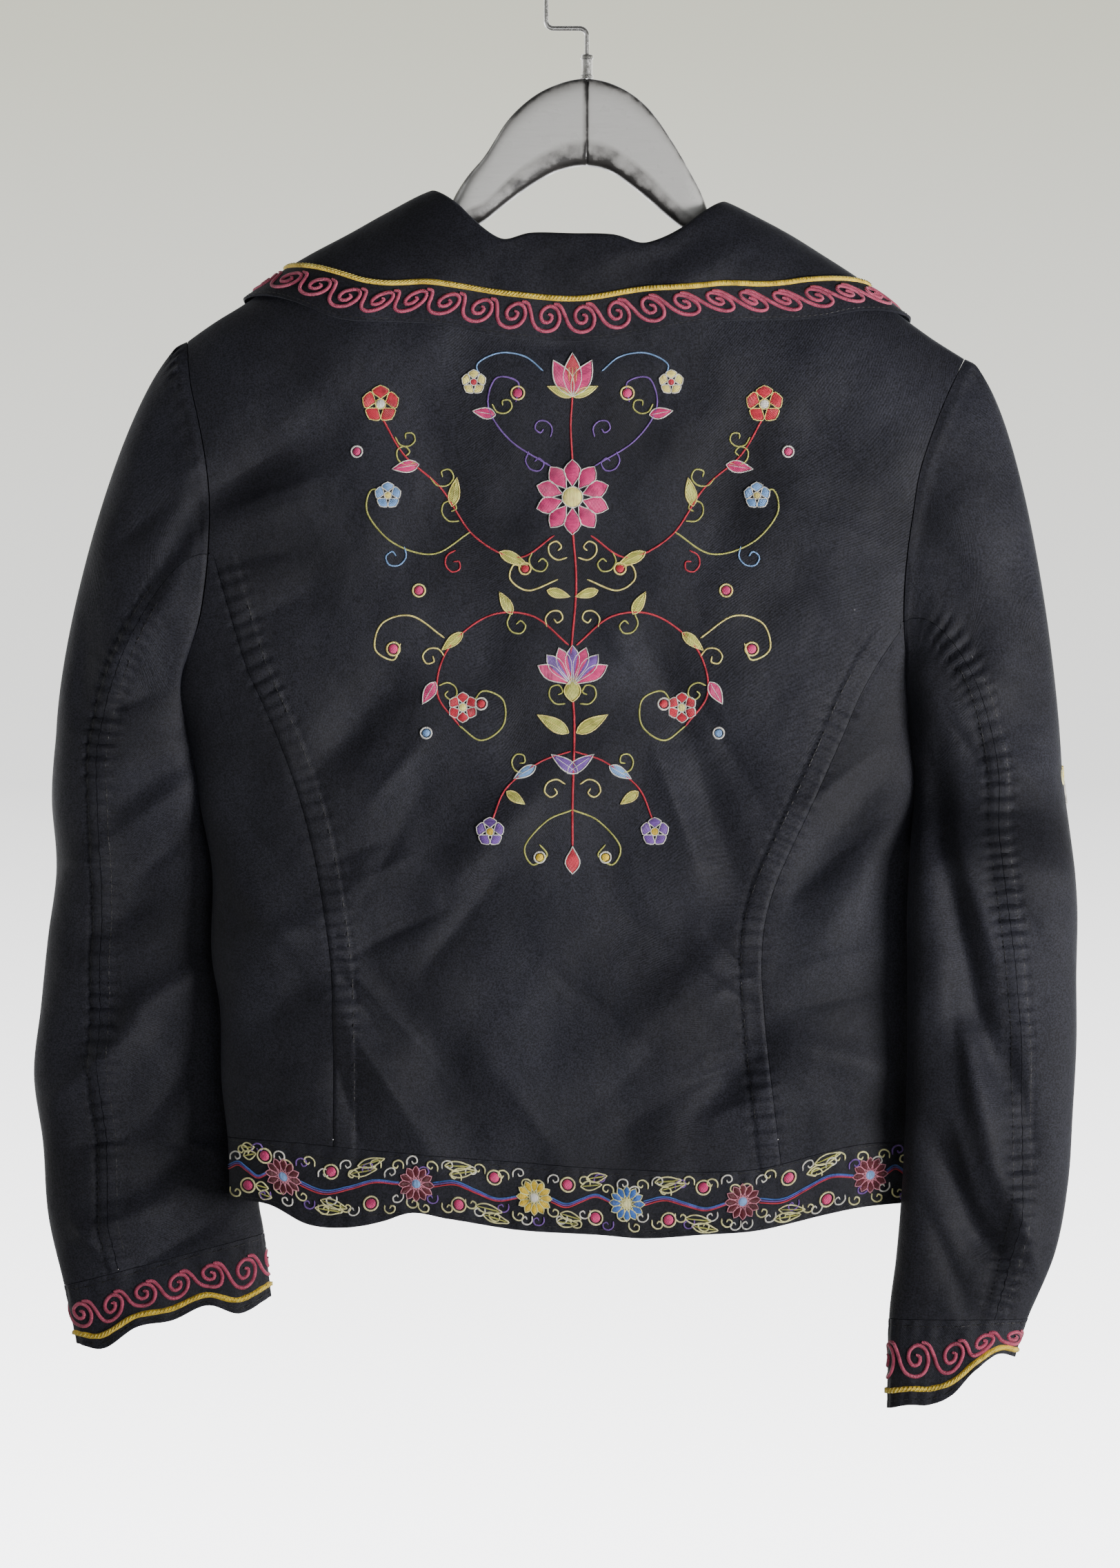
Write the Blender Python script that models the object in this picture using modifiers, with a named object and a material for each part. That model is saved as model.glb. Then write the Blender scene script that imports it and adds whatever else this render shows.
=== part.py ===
"""A fitted black blazer that hangs on a wooden hanger with a steel hook.

Metres, +Z up. The origin is the inner top of the hook, where a rail or a peg holds it.
The wearer faces +Y, so the back of the blazer faces -Y. Left and right are those of a
person who looks at the back, so left is -X.
Every piece of cloth is a thin wall on a shape that the functions below work out from
tables of sizes in millimetres.
"""
import math

import bmesh
import bpy
import numpy as np

MM = 0.001
SOLVE_STEPS = 20            # rounds in which a point settles on its line and its row
SHARP_ANGLE = 50            # degrees between faces that meet in a hard edge
WALL = 1.3                  # cloth with its fusing
SEAM_GAP = 0.3              # between two pieces that are sewn together
COLLAR_WALL = 1.4
CENTRE_X = -8.0             # the blazer hangs a little to the left of the hook

# Torso depth, front to back, and how far below the shoulder line it is reached
BACK_DEPTH = 30.0
FRONT_DEPTH = 26.0
DEPTH_REACH = 78.0
SIDE_FULLNESS = 0.6         # 0 gives an ellipse in plan, more gives fuller sides

# Rows of the torso: over the armhole, then from the underarm to the hem band
ARMHOLE_ROWS = 12
BODY_ROWS = 12
SHOULDER_COLUMNS = 8
NECK_COLUMNS = 12
NECK_CROWDING = 0.6         # how far the neck's columns crowd towards its ends
SIDE_COLUMNS = 5
BAND_ROWS = 3

# Shoulder tips, underarm points and neck points, as (x, z)
TIP = {"left": (-220.0, -214.3), "right": (208.0, -223.8)}
UNDERARM = {"left": (-227.6, -405.8), "right": (182.0, -427.0)}
NECK_POINT = {"left": (-84.0, -143.0), "right": (74.0, -149.5)}
SEAM_ROW = {"left": 7, "right": 8}      # armhole row where princess and sleeve seams meet
SIGN = {"left": -1.0, "right": 1.0}

# Outline of the body seen from behind. Above the underarm it runs inside the sleeve.
BODY_EDGE = (
    ("z", "left", "right"),
    (-210, -258, 243), (-254, -252, 232), (-292, -246, 221), (-330, -240, 211),
    (-368, -234, 200), (-395, -229, 191), (-407, -227.8, 186.5), (-419, -224, 183.2),
    (-427, -221.5, 182), (-444, -217, 184), (-470, -213, 186), (-501, -207, 188),
    (-559, -206, 189), (-575, -203, 188), (-626, -201, 187), (-652, -198, 186),
    (-690, -197, 185), (-715, -197, 185),
)
ARMHOLE_LEFT = (
    ("z", "x"),
    (-214.3, -220), (-241, -217), (-254, -214), (-280, -209), (-300, -207), (-331, -207.5),
    (-347, -209), (-373, -214), (-390, -221), (-400, -226), (-405.8, -227.6),
)
ARMHOLE_RIGHT = (
    ("z", "x"),
    (-223.8, 208), (-246, 197), (-266, 189), (-288, 182), (-310, 178.5), (-331, 175.5),
    (-347, 174), (-378, 174), (-395, 176), (-419, 181), (-427, 182),
)
PRINCESS_LEFT = (
    ("z", "x"),
    (-330, -205.4), (-349, -200), (-373, -193), (-395, -186), (-415, -177), (-436, -168),
    (-474, -155), (-499, -149), (-528, -144), (-555, -140.5), (-592, -139), (-660, -139),
)
PRINCESS_RIGHT = (
    ("z", "x"),
    (-374, 171.8), (-388, 162), (-407, 151), (-432, 140), (-452, 131), (-474, 121),
    (-492, 112.5), (-515, 102.5), (-533, 97.5), (-559, 95.5), (-584, 97), (-610, 99.5),
    (-635, 102.5), (-665, 106),
)
# Ridge of the shoulders, with a virtual stretch across the neck
SHOULDER = (
    ("x", "z"),
    (-245, -236), (-220, -214.3), (-205, -203.6), (-190, -194.4), (-172, -182.4), (-153, -170.6),
    (-131.5, -159.2), (-110, -150.4), (-84, -143), (-50, -136.5), (-8, -133.5), (35, -138.5),
    (74, -149.5), (95, -156.4), (111.7, -163), (130, -172), (148, -182.6), (161, -191.4),
    (178, -203.8), (190, -212.4), (208, -223.8), (230, -238),
)
NECK_BACK = (
    ("x", "z"),
    (-84, -143), (-72, -157), (-50, -170), (-8, -176), (36, -173), (62, -163), (74, -149.5),
)
# Upper edge of the hem band and the hem itself, on the back and on the plain front
BAND_BACK = (
    ("x", "top", "hem"),
    (-200, -652, -686), (-174, -653.5, -688.6), (-153, -655, -699), (-132, -657, -700.7),
    (-111, -659, -697), (-98, -660, -692.8), (-76, -662, -695.8), (-41, -664.6, -701.5),
    (11, -668.4, -705), (26, -669, -706.4), (64, -670.3, -704.5), (95, -668.4, -701.9),
    (114, -664, -697.7), (127, -660.4, -694.5), (146, -656, -690.5), (188, -654, -687),
)
FRONT_BAND_TOP = -655.0
FRONT_HEM = -694.0
FRONT_LEVEL = (140.0, 50.0) # half width of the level part of the front, and the blend beside it

# Largest folds of the back and of the front: a ridge has a depth above 0, a trough below
BODY_FOLDS = (
    ("side", "x0", "z0", "x1", "z1", "width", "depth"),
    ("back", -205, -301, -142, -266, 13, -4.5),
    ("back", -204, -318, -158, -304, 9, 3.0),
    ("back", -150, -452, -109, -406, 13, -3.5),
    ("back", -133, -544, -81, -522, 12, -3.0),
    ("back", -78, -520, -15, -450, 15, 3.5),
    ("back", 29, -387, 51, -423, 14, -3.5),
    ("back", 51, -423, 84, -516, 13, -4.0),
    ("back", -198, -505, -173, -542, 10, 4.5),
    ("back", -173, -542, -153, -536, 9, 3.5),
    ("back", 168, -446, 118, -508, 12, -4.5),
    ("back", 176, -470, 130, -540, 12, 3.5),
    ("back", -149, -565, -187, -592, 12, -4.0),
    ("back", -142, -577, -81, -665, 12, 3.5),
    ("back", -118, -560, -60, -640, 14, -3.0),
    ("back", 62, -637, 95, -604, 12, -4.0),
    ("back", 20, -600, 80, -545, 15, 3.0),
    ("back", 112, -600, 172, -617, 10, 4.0),
    ("back", -95, -250, -60, -330, 20, -2.5),
    ("back", 95, -250, 70, -330, 20, -2.5),
    ("front", 150, -290, 60, -420, 16, -3.0),
    ("front", -165, -290, -70, -400, 16, -3.0),
    ("front", 165, -470, 70, -545, 14, -3.5),
    ("front", -180, -480, -85, -550, 14, -3.5),
    ("front", 120, -560, 75, -660, 14, 3.0),
    ("front", -130, -560, -90, -660, 14, 3.0),
)

# Front closing: the right front of the wearer laps over the left one
LAP = 15.0
LAP_STEP = 2.0
LAP_BLEND = (10.0, 45.0)    # where the step begins beside the centre, and how wide it is
LAP_SPREAD = 10             # rows of the turn from neckline to front edge, as 1 / rows
CLOSE_ROW = 1.0             # row at the bottom of the neckline

# Sleeves: outer and inner point of each ring, its middle in y and its half depth
SLEEVE_LEFT = (
    ("x_out", "z_out", "x_in", "z_in", "y", "half_depth"),
    (-293, -429, -222.5, -430, 9, 24), (-296, -467, -207, -469, 21, 24),
    (-294, -505, -197, -507, 26, 23), (-299, -543, -194, -545, 29, 22),
    (-303, -581, -192, -583, 31, 21), (-307, -619, -190, -620, 32, 20),
    (-302, -657, -186, -656, 32, 19), (-299, -697, -182, -690, 31, 17),
    (-290, -736, -179, -707, 29, 15), (-283, -768, -175, -742, 28, 14),
)
SLEEVE_RIGHT = (
    ("x_out", "z_out", "x_in", "z_in", "y", "half_depth"),
    (261, -448, 185.5, -449, -9, 24), (265, -486, 178, -486, -27, 23),
    (268, -524, 175, -524, -31, 22), (267.5, -562, 175, -562, -32, 21),
    (267.5, -600, 175, -600, -32, 20), (265.5, -638, 174, -640, -32, 19),
    (263, -676, 172, -680, -31, 18), (256, -714, 169, -716, -30, 16),
    (241, -750, 165, -750, -30, 14), (234, -771, 164, -799, -30, 13),
)
CUFF_RING = 8               # ring where the cuff begins, counted from 0
SLEEVE_FULLNESS = 0.3
CAP_ROWS = 6
# Stretches of a sleeve piece, each a solid of its own, as (name, first row, last row)
SLEEVE_STRETCHES = (("cap", 0.0, 1.0), ("arm", 1.0, 5.0), ("forearm", 5.0, 9.0))
RING_STEPS = 2              # rows for each ring of the table
CAP_REACH_OUT = (85.0, 30.0)
CAP_REACH_DOWN = (8.0, 200.0)
CAP_ROUND = 0.6             # less gives a cap that stays full further round
CAP_SIDE_DOWN = 35.0
CAP_SIDE_OUT = 8.0
UNDERARM_REACH = 25.0
UNDERARM_CLEAR = 0.5        # more room between sleeve and body under the arm
CUFF_ROWS = 3
CUFF_COLUMNS = 24
CUFF_WAVE = (
    ("across", "left", "right"),
    (0.0, 0.0, 0.0), (0.13, -6, 6), (0.32, 1.5, 3), (0.5, 0.5, -6), (0.68, 4, -6.5),
    (0.85, -5, -2), (1.0, 0.0, 0.0),
)
# Back seam of each sleeve: its angle on the ring, 0 at the outer side and 180 inside
SLEEVE_SEAM = (
    ("row", "left", "right"),
    (0.0, 105, 120), (0.35, 92, 104), (0.7, 82, 92), (1.0, 74, 88), (2.0, 66, 86),
    (3.0, 63, 81), (4.0, 65, 75), (6.0, 69, 68), (8.0, 66, 64), (9.0, 64, 60),
)
SLEEVE_FOLDS = (
    ("sleeve", "x0", "z0", "x1", "z1", "width", "depth"),
    ("left", -217, -442, -262, -470, 10, -4.0),
    ("left", -278, -345, -280, -415, 11, -4.0),
    ("left", -207, -556, -246, -581, 10, 4.0),
    ("left", -246, -581, -266, -615, 9, 3.5),
    ("left", -200, -640, -240, -678, 11, -4.5),
    ("left", -240, -520, -280, -545, 11, -3.0),
    ("left", -235, -690, -285, -712, 9, 3.0),
    ("right", 187, -400, 208, -432, 9, 4.5),
    ("right", 191, -440, 191, -491, 9, -5.0),
    ("right", 191, -491, 212, -584, 9, -5.5),
    ("right", 212, -584, 228, -622, 9, -4.0),
    ("right", 206, -596, 221, -666, 9, 5.0),
    ("right", 221, -666, 239, -703, 9, 4.5),
    ("right", 190, -656, 211, -701, 9, -4.5),
    ("right", 211, -701, 224, -716, 9, -4.0),
    ("right", 232, -330, 246, -420, 12, -3.0),
)

# Collar stations from the back centre to the front end. The drop below the collar's own
# ridge is negative on the back and positive on the front. base is the x where its stand
# meets the back neckline, or the z where it meets the front one.
COLLAR_LIFT = 2.7           # how far the fall stands off the torso
COLLAR_ROLL = 2.7           # outer radius of the fold
COLLAR_BASE_GAP = 0.7       # from the stand to the back neckline
COLLAR_FRONT_GAP = 1.9      # and to the front one, which turns more sharply
COLLAR_COLUMNS = 40
COLLAR_FALL_ROWS = 5
COLLAR_FOLD_ROWS = 3
COLLAR_STEP = 0.02          # share of a station over which the collar's directions are taken
STAND_FLAT = 12.0           # y under which the stand's inner side turns level
COLLAR_RIDGE = (
    ("x", "z"),
    (-215, -206), (-189, -189.8), (-172, -177.8), (-153, -166.4), (-131.5, -155), (-110, -143),
    (-86, -131), (-50, -126.5), (-8, -126), (35, -130), (77, -137.2), (95, -146),
    (111.7, -155), (130, -166.4), (148, -178), (161, -187.2), (178, -200), (200, -215),
)
COLLAR_LEFT = (
    ("roll_x", "roll_drop", "edge_x", "edge_drop", "base"),
    (-8, -32, -8, -90, -8), (-30, -32, -60, -84, -30), (-49, -34, -103, -66, -50),
    (-70, -15, -150, -33, -72), (-86, 0, -189, 0, -84), (-74, 38, -170, 52, -172),
    (-56, 88, -135, 112, -236), (-36, 168, -92, 198, -316), (-19, 240, -40, 258, -388),
)
COLLAR_RIGHT = (
    ("roll_x", "roll_drop", "edge_x", "edge_drop", "base"),
    (-8, -32, -8, -90, -8), (14, -31, 40, -79, 14), (34, -33, 88, -62, 36),
    (60, -16, 138, -29, 62), (77, 0, 178, 0, 74), (65, 38, 162, 52, -180),
    (47, 88, 122, 112, -242), (24, 162, 78, 192, -318), (4, 226, 26, 244, -384),
)

# Buttons of the front
BUTTON_RADIUS = 9.0
BUTTON_THICKNESS = 3.0
BUTTON_EDGE = 0.8
BUTTON_SIDES = 20
BUTTON_HEIGHTS = (-450.0, -525.0, -600.0)

# Hanger: a shaped piece of wood in upright slices. Its arms lie just under the shoulders.
HANGER_SEAT = 2.1           # from the shoulder ridge down to the top of an arm
HANGER_LEFT_ARM = (
    ("x", "height", "thickness"),
    (-211, 13, 8), (-203, 25, 13), (-190, 28, 15), (-172, 29, 16.5), (-153, 30, 17),
    (-131.5, 29, 17), (-110, 26, 17), (-95, 21, 16), (-86, 18, 16),
)
HANGER_NECK = (
    ("x", "top", "bottom", "thickness"),
    (-79.5, -145.8, -161.5, 16.5), (-76, -140.5, -159.5, 17.5), (-72, -132.5, -157, 18.5),
    (-66, -123.5, -153.5, 20), (-56.6, -112.5, -148, 20), (-44.1, -93.1, -138, 20),
    (-31.2, -80.6, -128.5, 20), (-16, -72.5, -120.2, 20), (-1, -69.5, -117.4, 20),
    (13, -72, -120.6, 20), (24.7, -77.9, -128.5, 20), (35, -87, -137, 20),
    (47.5, -104.9, -148, 20), (57.8, -122.7, -155, 20), (63, -132.5, -158, 18.5),
    (67, -143, -161, 14.5), (70, -152, -164.5, 12.5),
)
HANGER_RIGHT_ARM = (
    ("x", "height", "thickness"),
    (76, 15, 14), (86, 19, 16), (95, 23, 16.5), (111.7, 28, 17), (130, 29, 17),
    (148, 30, 17), (161, 29, 16.5), (178, 28, 15), (191, 25, 13), (199, 13, 8),
)
HANGER_RING_POINTS = 12
NECK_SQUARENESS = 3.0
ARM_SQUARENESS = 1.7
NECK_REACH = (50.0, 75.0)   # the neck's squareness fades out between these widths

# Hook and ferrule
WIRE_RADIUS = 1.4
HOOK_RADIUS = 22.4          # of the wire's centreline
HOOK_JOG_Z = -41.5
HOOK_BEND_RADIUS = 4.0
HOOK_END_DROP = 3.0
HOOK_BEND_DEGREES = (30, 60, 90)
HOOK_ARC_STEP = 12
FERRULE_TOP = -56.0
FERRULE_RADIUS = 3.6
FERRULE_BORE = 1.8
FERRULE_RIM = 0.7
FERRULE_STEPS = 24
WOOD_TOP = -69.5


def column(table, name):
    """One named column of a table whose first row holds the names."""
    place = table[0].index(name)
    return np.array([row[place] for row in table[1:]], float)


def smooth(table, along, name):
    """A smooth function through one column of a table, along another column."""
    x = column(table, along)
    y = column(table, name)
    order = np.argsort(x)
    x, y = x[order], y[order]
    slope = np.gradient(y, x)

    def at(q):
        q = np.clip(q, x[0], x[-1])
        i = np.clip(np.searchsorted(x, q, side="right") - 1, 0, len(x) - 2)
        h = x[i + 1] - x[i]
        return hermite(y[i], y[i + 1], slope[i] * h, slope[i + 1] * h, (q - x[i]) / h)

    return at


def hermite(start, end, leave, arrive, t):
    """A cubic from start to end with the tangents leave and arrive."""
    return (start * (2 * t**3 - 3 * t**2 + 1) + end * (3 * t**2 - 2 * t**3)
            + leave * (t**3 - 2 * t**2 + t) + arrive * (t**3 - t**2))


def mix(a, b, t):
    return a + (b - a) * t


def ease(t):
    t = np.clip(t, 0.0, 1.0)
    return t * t * (3 - 2 * t)


edge_at = {"left": smooth(BODY_EDGE, "z", "left"), "right": smooth(BODY_EDGE, "z", "right")}
armhole_at = {"left": smooth(ARMHOLE_LEFT, "z", "x"), "right": smooth(ARMHOLE_RIGHT, "z", "x")}
princess_at = {"left": smooth(PRINCESS_LEFT, "z", "x"), "right": smooth(PRINCESS_RIGHT, "z", "x")}
shoulder_at = smooth(SHOULDER, "x", "z")
neck_back_at = smooth(NECK_BACK, "x", "z")
band_top_at = smooth(BAND_BACK, "x", "top")
band_hem_at = smooth(BAND_BACK, "x", "hem")
collar_ridge_at = smooth(COLLAR_RIDGE, "x", "z")
cuff_wave_at = {side: smooth(CUFF_WAVE, "across", side) for side in SIGN}
sleeve_seam_at = {side: smooth(SLEEVE_SEAM, "row", side) for side in SIGN}


def fold_height(table, kind, x, z):
    """Height of a table's folds of one kind over the plain cloth at (x, z)."""
    height = np.zeros(np.broadcast(x, z).shape)
    for what, x0, z0, x1, z1, width, depth in table[1:]:
        if what != kind:
            continue
        length2 = (x1 - x0) ** 2 + (z1 - z0) ** 2
        along = np.clip(((x - x0) * (x1 - x0) + (z - z0) * (z1 - z0)) / length2, 0, 1)
        away2 = (x - mix(x0, x1, along)) ** 2 + (z - mix(z0, z1, along)) ** 2
        height = height + depth * np.exp(-away2 / width**2) * (1 - 0.4 * (2 * along - 1) ** 2)
    return height


def drop_share(drop):
    """Share of the full depth that is reached this far below the shoulder ridge."""
    left = np.clip(1 - drop / DEPTH_REACH, 0, 1)
    return np.sqrt(1 - left**2)


def middle_and_half(z):
    left, right = edge_at["left"](z), edge_at["right"](z)
    return (left + right) / 2, (right - left) / 2


def plan_angle(x, z):
    """Angle round the torso in plan, 0 at the centre and 90 degrees at its right edge."""
    centre, half = middle_and_half(z)
    return np.arcsin(np.clip((x - centre) / half, -1, 1))


def row_height(x, row, face):
    """Height of a row: 0 is the shoulder line, 1 the underarm, 2 the top of the hem band."""
    across = (x - TIP["left"][0]) / (TIP["right"][0] - TIP["left"][0])
    tip = mix(TIP["left"][1], TIP["right"][1], across)
    under = mix(UNDERARM["left"][1], UNDERARM["right"][1], across)
    turn = np.cos(np.pi * np.clip(row, 0, 1))
    in_neck = (x > NECK_POINT["left"][0]) & (x < NECK_POINT["right"][0]) & (face == "back")
    top = np.where(in_neck, neck_back_at(x), shoulder_at(x))
    upper = mix(tip, under, (1 - turn) / 2) + (top - tip) * (1 + turn) / 2
    band = band_top_at(x) if face == "back" else band_line(x, "top")
    return np.where(row < 1, upper, mix(under, band, row - 1))


def band_line(x, edge):
    """Edges of the front hem band, which meet those of the back at the sides."""
    level = FRONT_BAND_TOP if edge == "top" else FRONT_HEM
    back = band_top_at(x) if edge == "top" else band_hem_at(x)
    to_side = ease((np.abs(x - CENTRE_X) - FRONT_LEVEL[0]) / FRONT_LEVEL[1])
    return mix(level, back, to_side)


def torso_y(angle, x, z, face):
    """y of the torso at a plan angle, a width and a height."""
    depth = BACK_DEPTH if face == "back" else FRONT_DEPTH
    around = np.cos(angle) * (1 + SIDE_FULLNESS * np.sin(angle) ** 2)
    reach = depth * around * drop_share(shoulder_at(x) - z)
    swell = fold_height(BODY_FOLDS, face, x, z) * np.cos(angle) * drop_share((shoulder_at(x) - z) * 2)
    return (reach + swell) * (-1 if face == "back" else 1)


def torso(angle, row, face):
    """Point of the torso at a plan angle and a row."""
    x = CENTRE_X + TIP["right"][0] * np.sin(angle) + 0 * row
    for _ in range(SOLVE_STEPS):
        z = row_height(x, row, face)
        centre, half = middle_and_half(z)
        x = centre + half * np.sin(angle)
    return np.stack([x, torso_y(angle, x, z, face), z], axis=-1)


def angle_on_line(line, row, face, start):
    """Plan angle where a row crosses a line that gives x at each height."""
    x = start + 0 * row
    for _ in range(SOLVE_STEPS):
        z = row_height(x, row, face)
        x = line(z)
    return plan_angle(x, z)


def armhole_angle(side, row, face):
    """Plan angle of the outer edge of the torso: the armhole, then the side seam."""
    upper = angle_on_line(armhole_at[side], np.clip(row, 0, 1), face, TIP[side][0])
    return np.where(row < 1, upper, SIGN[side] * np.pi / 2)


def back_edge_angle(side, row):
    """Outer edge of the middle back: the armhole, then the princess seam."""
    seam_row = SEAM_ROW[side] / ARMHOLE_ROWS
    seam = angle_on_line(princess_at[side], row, "back", TIP[side][0])
    return np.where(row < seam_row - 1e-6, armhole_angle(side, row, "back"), seam)


def neckline_x(side, row):
    """x of the front neckline, and of the front edge below it."""
    start = NECK_POINT[side][0]
    end = CENTRE_X + SIGN[side]
    lap = CENTRE_X - SIGN[side] * LAP
    slope = (1 - np.cos(np.pi * np.clip(row, 0, 1))) / 2
    below = mix(end, lap, ease((row - CLOSE_ROW) * LAP_SPREAD))
    return np.where(row < CLOSE_ROW, mix(start, end, slope), below)


def neckline_angle(side, row):
    x = neckline_x(side, row)
    return plan_angle(x, row_height(x, row, "front"))


def lapped(point, side):
    """The front that lies below steps back where the other one laps over it."""
    near = 1 - ease((CENTRE_X - point[..., 0] - LAP_BLEND[0]) / LAP_BLEND[1])
    step = LAP_STEP * near if side == "left" else 0 * near
    return point - np.stack([0 * step, step, 0 * step], axis=-1)


def armhole_point(side, turn):
    """Point of the armhole; turn is 0 at the shoulder tip, 180 at the underarm, 360 at the tip."""
    turn = np.asarray(turn, float)
    row = np.where(turn <= 180, turn, 360 - turn) / 180
    back = torso(armhole_angle(side, row, "back"), row, "back")
    front = torso(armhole_angle(side, row, "front"), row, "front")
    return np.where((turn <= 180)[..., None], back, front)


def sleeve_ring(side, turn, ring):
    """Point of the sleeve below the cap; ring counts the rows of its table from 0."""
    table = SLEEVE_LEFT if side == "left" else SLEEVE_RIGHT
    numbered = (("ring",) + table[0],) + tuple((i,) + row for i, row in enumerate(table[1:]))
    size = {name: smooth(numbered, "ring", name)(ring) for name in table[0]}
    phi = np.radians(turn)
    across = (1 - np.cos(phi)) / 2
    depth = size["half_depth"] * np.sin(phi) * (1 + SLEEVE_FULLNESS * np.cos(phi) ** 2)
    x = mix(size["x_out"], size["x_in"], across)
    z = mix(size["z_out"], size["z_in"], across)
    cuff = np.clip(ring - CUFF_RING, 0, 1)
    z = z + cuff_wave_at[side](across) * cuff
    return np.stack([x, size["y"] - depth, z], axis=-1)


def sleeve(side, turn, row):
    """Point of a sleeve: row 0 is the armhole, 1 the first ring of the table, and so on."""
    turn = np.asarray(turn, float) + 0 * row
    row = np.asarray(row, float) + 0 * turn
    sign = SIGN[side]
    phi = np.radians(turn)
    upper = (1 + np.cos(phi)) / 2
    clear = sign * (SEAM_GAP + UNDERARM_CLEAR * (1 - upper) ** 2)
    start = armhole_point(side, turn) + np.stack([clear, 0 * clear, 0 * clear], axis=-1)
    end = sleeve_ring(side, turn, 0 * row)
    down_out = CAP_REACH_OUT[1] * upper + UNDERARM_REACH * (1 - upper)
    down_out = down_out + CAP_SIDE_DOWN * np.sin(phi) ** 2
    out = sign * CAP_REACH_OUT[0] * upper**CAP_ROUND
    leave = np.stack([out, -CAP_SIDE_OUT * np.sin(phi), -down_out], axis=-1)
    down = CAP_REACH_DOWN[1] * upper + UNDERARM_REACH * (1 - upper)
    arrive = np.stack([sign * CAP_REACH_DOWN[0] * upper, 0 * down, -down], axis=-1)
    cap = hermite(start, end, leave, arrive, np.clip(row, 0, 1)[..., None])
    below = sleeve_ring(side, turn, np.clip(row - 1, 0, None))
    point = np.where((row < 1)[..., None], cap, below)
    lean = np.where(turn <= 180, np.sin(phi), 0) * ease(row * 4)
    swell = fold_height(SLEEVE_FOLDS, side, point[..., 0], point[..., 2]) * lean
    return point - np.stack([0 * swell, swell, 0 * swell], axis=-1)


def collar_tau(drop):
    """Regular measure of a signed drop below the collar's ridge."""
    far = np.abs(drop) / DEPTH_REACH
    near = np.arccos(np.clip(1 - far, 0, 1))
    return np.sign(drop) * np.where(far < 1, near, np.pi / 2 + far - 1)


def collar_drop(tau):
    far = np.abs(tau)
    return DEPTH_REACH * np.where(far < np.pi / 2, 1 - np.cos(far), 1 + far - np.pi / 2)


def collar_fall_point(x, tau):
    """Outer face of the collar's fall."""
    z = collar_ridge_at(x) - collar_drop(tau)
    angle = plan_angle(x, z)
    around = np.cos(angle) * (1 + SIDE_FULLNESS * np.sin(angle) ** 2)
    depth = np.where(tau < 0, BACK_DEPTH, FRONT_DEPTH)
    y = (depth * around + COLLAR_LIFT) * np.sin(np.clip(tau, -np.pi / 2, np.pi / 2))
    return np.stack([x, y, z], axis=-1)


def collar_stations():
    """The collar's tables as one list, from its left front end to its right one."""
    rows = []
    for side, table in (("left", COLLAR_LEFT), ("right", COLLAR_RIGHT)):
        for i, row in enumerate(table[1:]):
            if side == "right" and i == 0:
                continue
            roll_x, roll_drop, edge_x, edge_drop, _ = row
            u = SIGN[side] * i
            rows.append((u, roll_x, float(collar_tau(roll_drop)), edge_x, float(collar_tau(edge_drop))))
    return (("u", "roll_x", "roll_tau", "edge_x", "edge_tau"),) + tuple(sorted(rows))


STATIONS = collar_stations()
station_at = {name: smooth(STATIONS, "u", name) for name in STATIONS[0][1:]}


def collar_base_point(u):
    """Where the stand's neck side ends, just clear of the torso's neckline."""
    table = {"left": COLLAR_LEFT, "right": COLLAR_RIGHT}
    points = []
    for one in np.atleast_1d(u):
        side = "left" if one < 0 else "right"
        values = column(table[side], "base")
        station = abs(one)
        if station <= 4:
            x = np.interp(station, range(5), values[:5])
            near = ease(station - 3)
            gap = np.array([-SIGN[side] * COLLAR_BASE_GAP * 2 * near, 0, COLLAR_BASE_GAP])
            angle, row, face = plan_angle(x, neck_back_at(x)), 0.0, "back"
        else:
            heights = np.concatenate([[NECK_POINT[side][1]], values[5:]])
            z = np.interp(station, [4, 5, 6, 7, 8], heights)
            if station < 5:
                z = mix(heights[0], heights[1], (station - 4) ** 2)
            row = neckline_row(side, z)
            gap = np.array([-SIGN[side] * COLLAR_FRONT_GAP, 0, COLLAR_BASE_GAP / 2])
            angle, face = float(neckline_angle(side, row)), "front"
        outer = torso(np.array(angle), np.array(row), face)
        level = min(abs(outer[1]) / STAND_FLAT, 1)
        inward = np.array([0, WALL if face == "back" else -WALL, 0]) * level
        points.append(outer + inward + gap)
    return np.array(points)


def neckline_row(side, z):
    """Row at which the front neckline reaches a height."""
    rows = np.linspace(0, 1, 201)
    heights = row_height(neckline_x(side, rows), rows, "front")
    return float(np.interp(-z, -heights, rows))


def collar(u, v):
    """Outer face of the folded collar: v is 0 at the stand's base, 1 to 2 the fold, 3 the edge."""
    roll_x, roll_tau = station_at["roll_x"](u), station_at["roll_tau"](u)
    edge_x, edge_tau = station_at["edge_x"](u), station_at["edge_tau"](u)
    step = COLLAR_STEP
    roll = collar_fall_point(roll_x, roll_tau)
    inside = collar_fall_point(mix(roll_x, edge_x, step), mix(roll_tau, edge_tau, step))
    ahead = collar_fall_point(station_at["roll_x"](u + step), station_at["roll_tau"](u + step))
    behind = collar_fall_point(station_at["roll_x"](u - step), station_at["roll_tau"](u - step))
    along = unit(ahead - behind)
    fall = unit(inside - roll)
    out = unit(np.cross(fall, along))
    fall = unit(np.cross(along, out))
    centre = roll - out * COLLAR_ROLL
    base = collar_base_point(u)
    if v >= 2:
        share = v - 2
        return collar_fall_point(mix(roll_x, edge_x, share), mix(roll_tau, edge_tau, share))
    if v >= 1:
        turn = np.pi * (2 - v)
        return centre + COLLAR_ROLL * (out * np.cos(turn) - fall * np.sin(turn))
    return mix(base, centre - out * COLLAR_ROLL, v)


def unit(vectors):
    return vectors / np.linalg.norm(vectors, axis=-1, keepdims=True)


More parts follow.
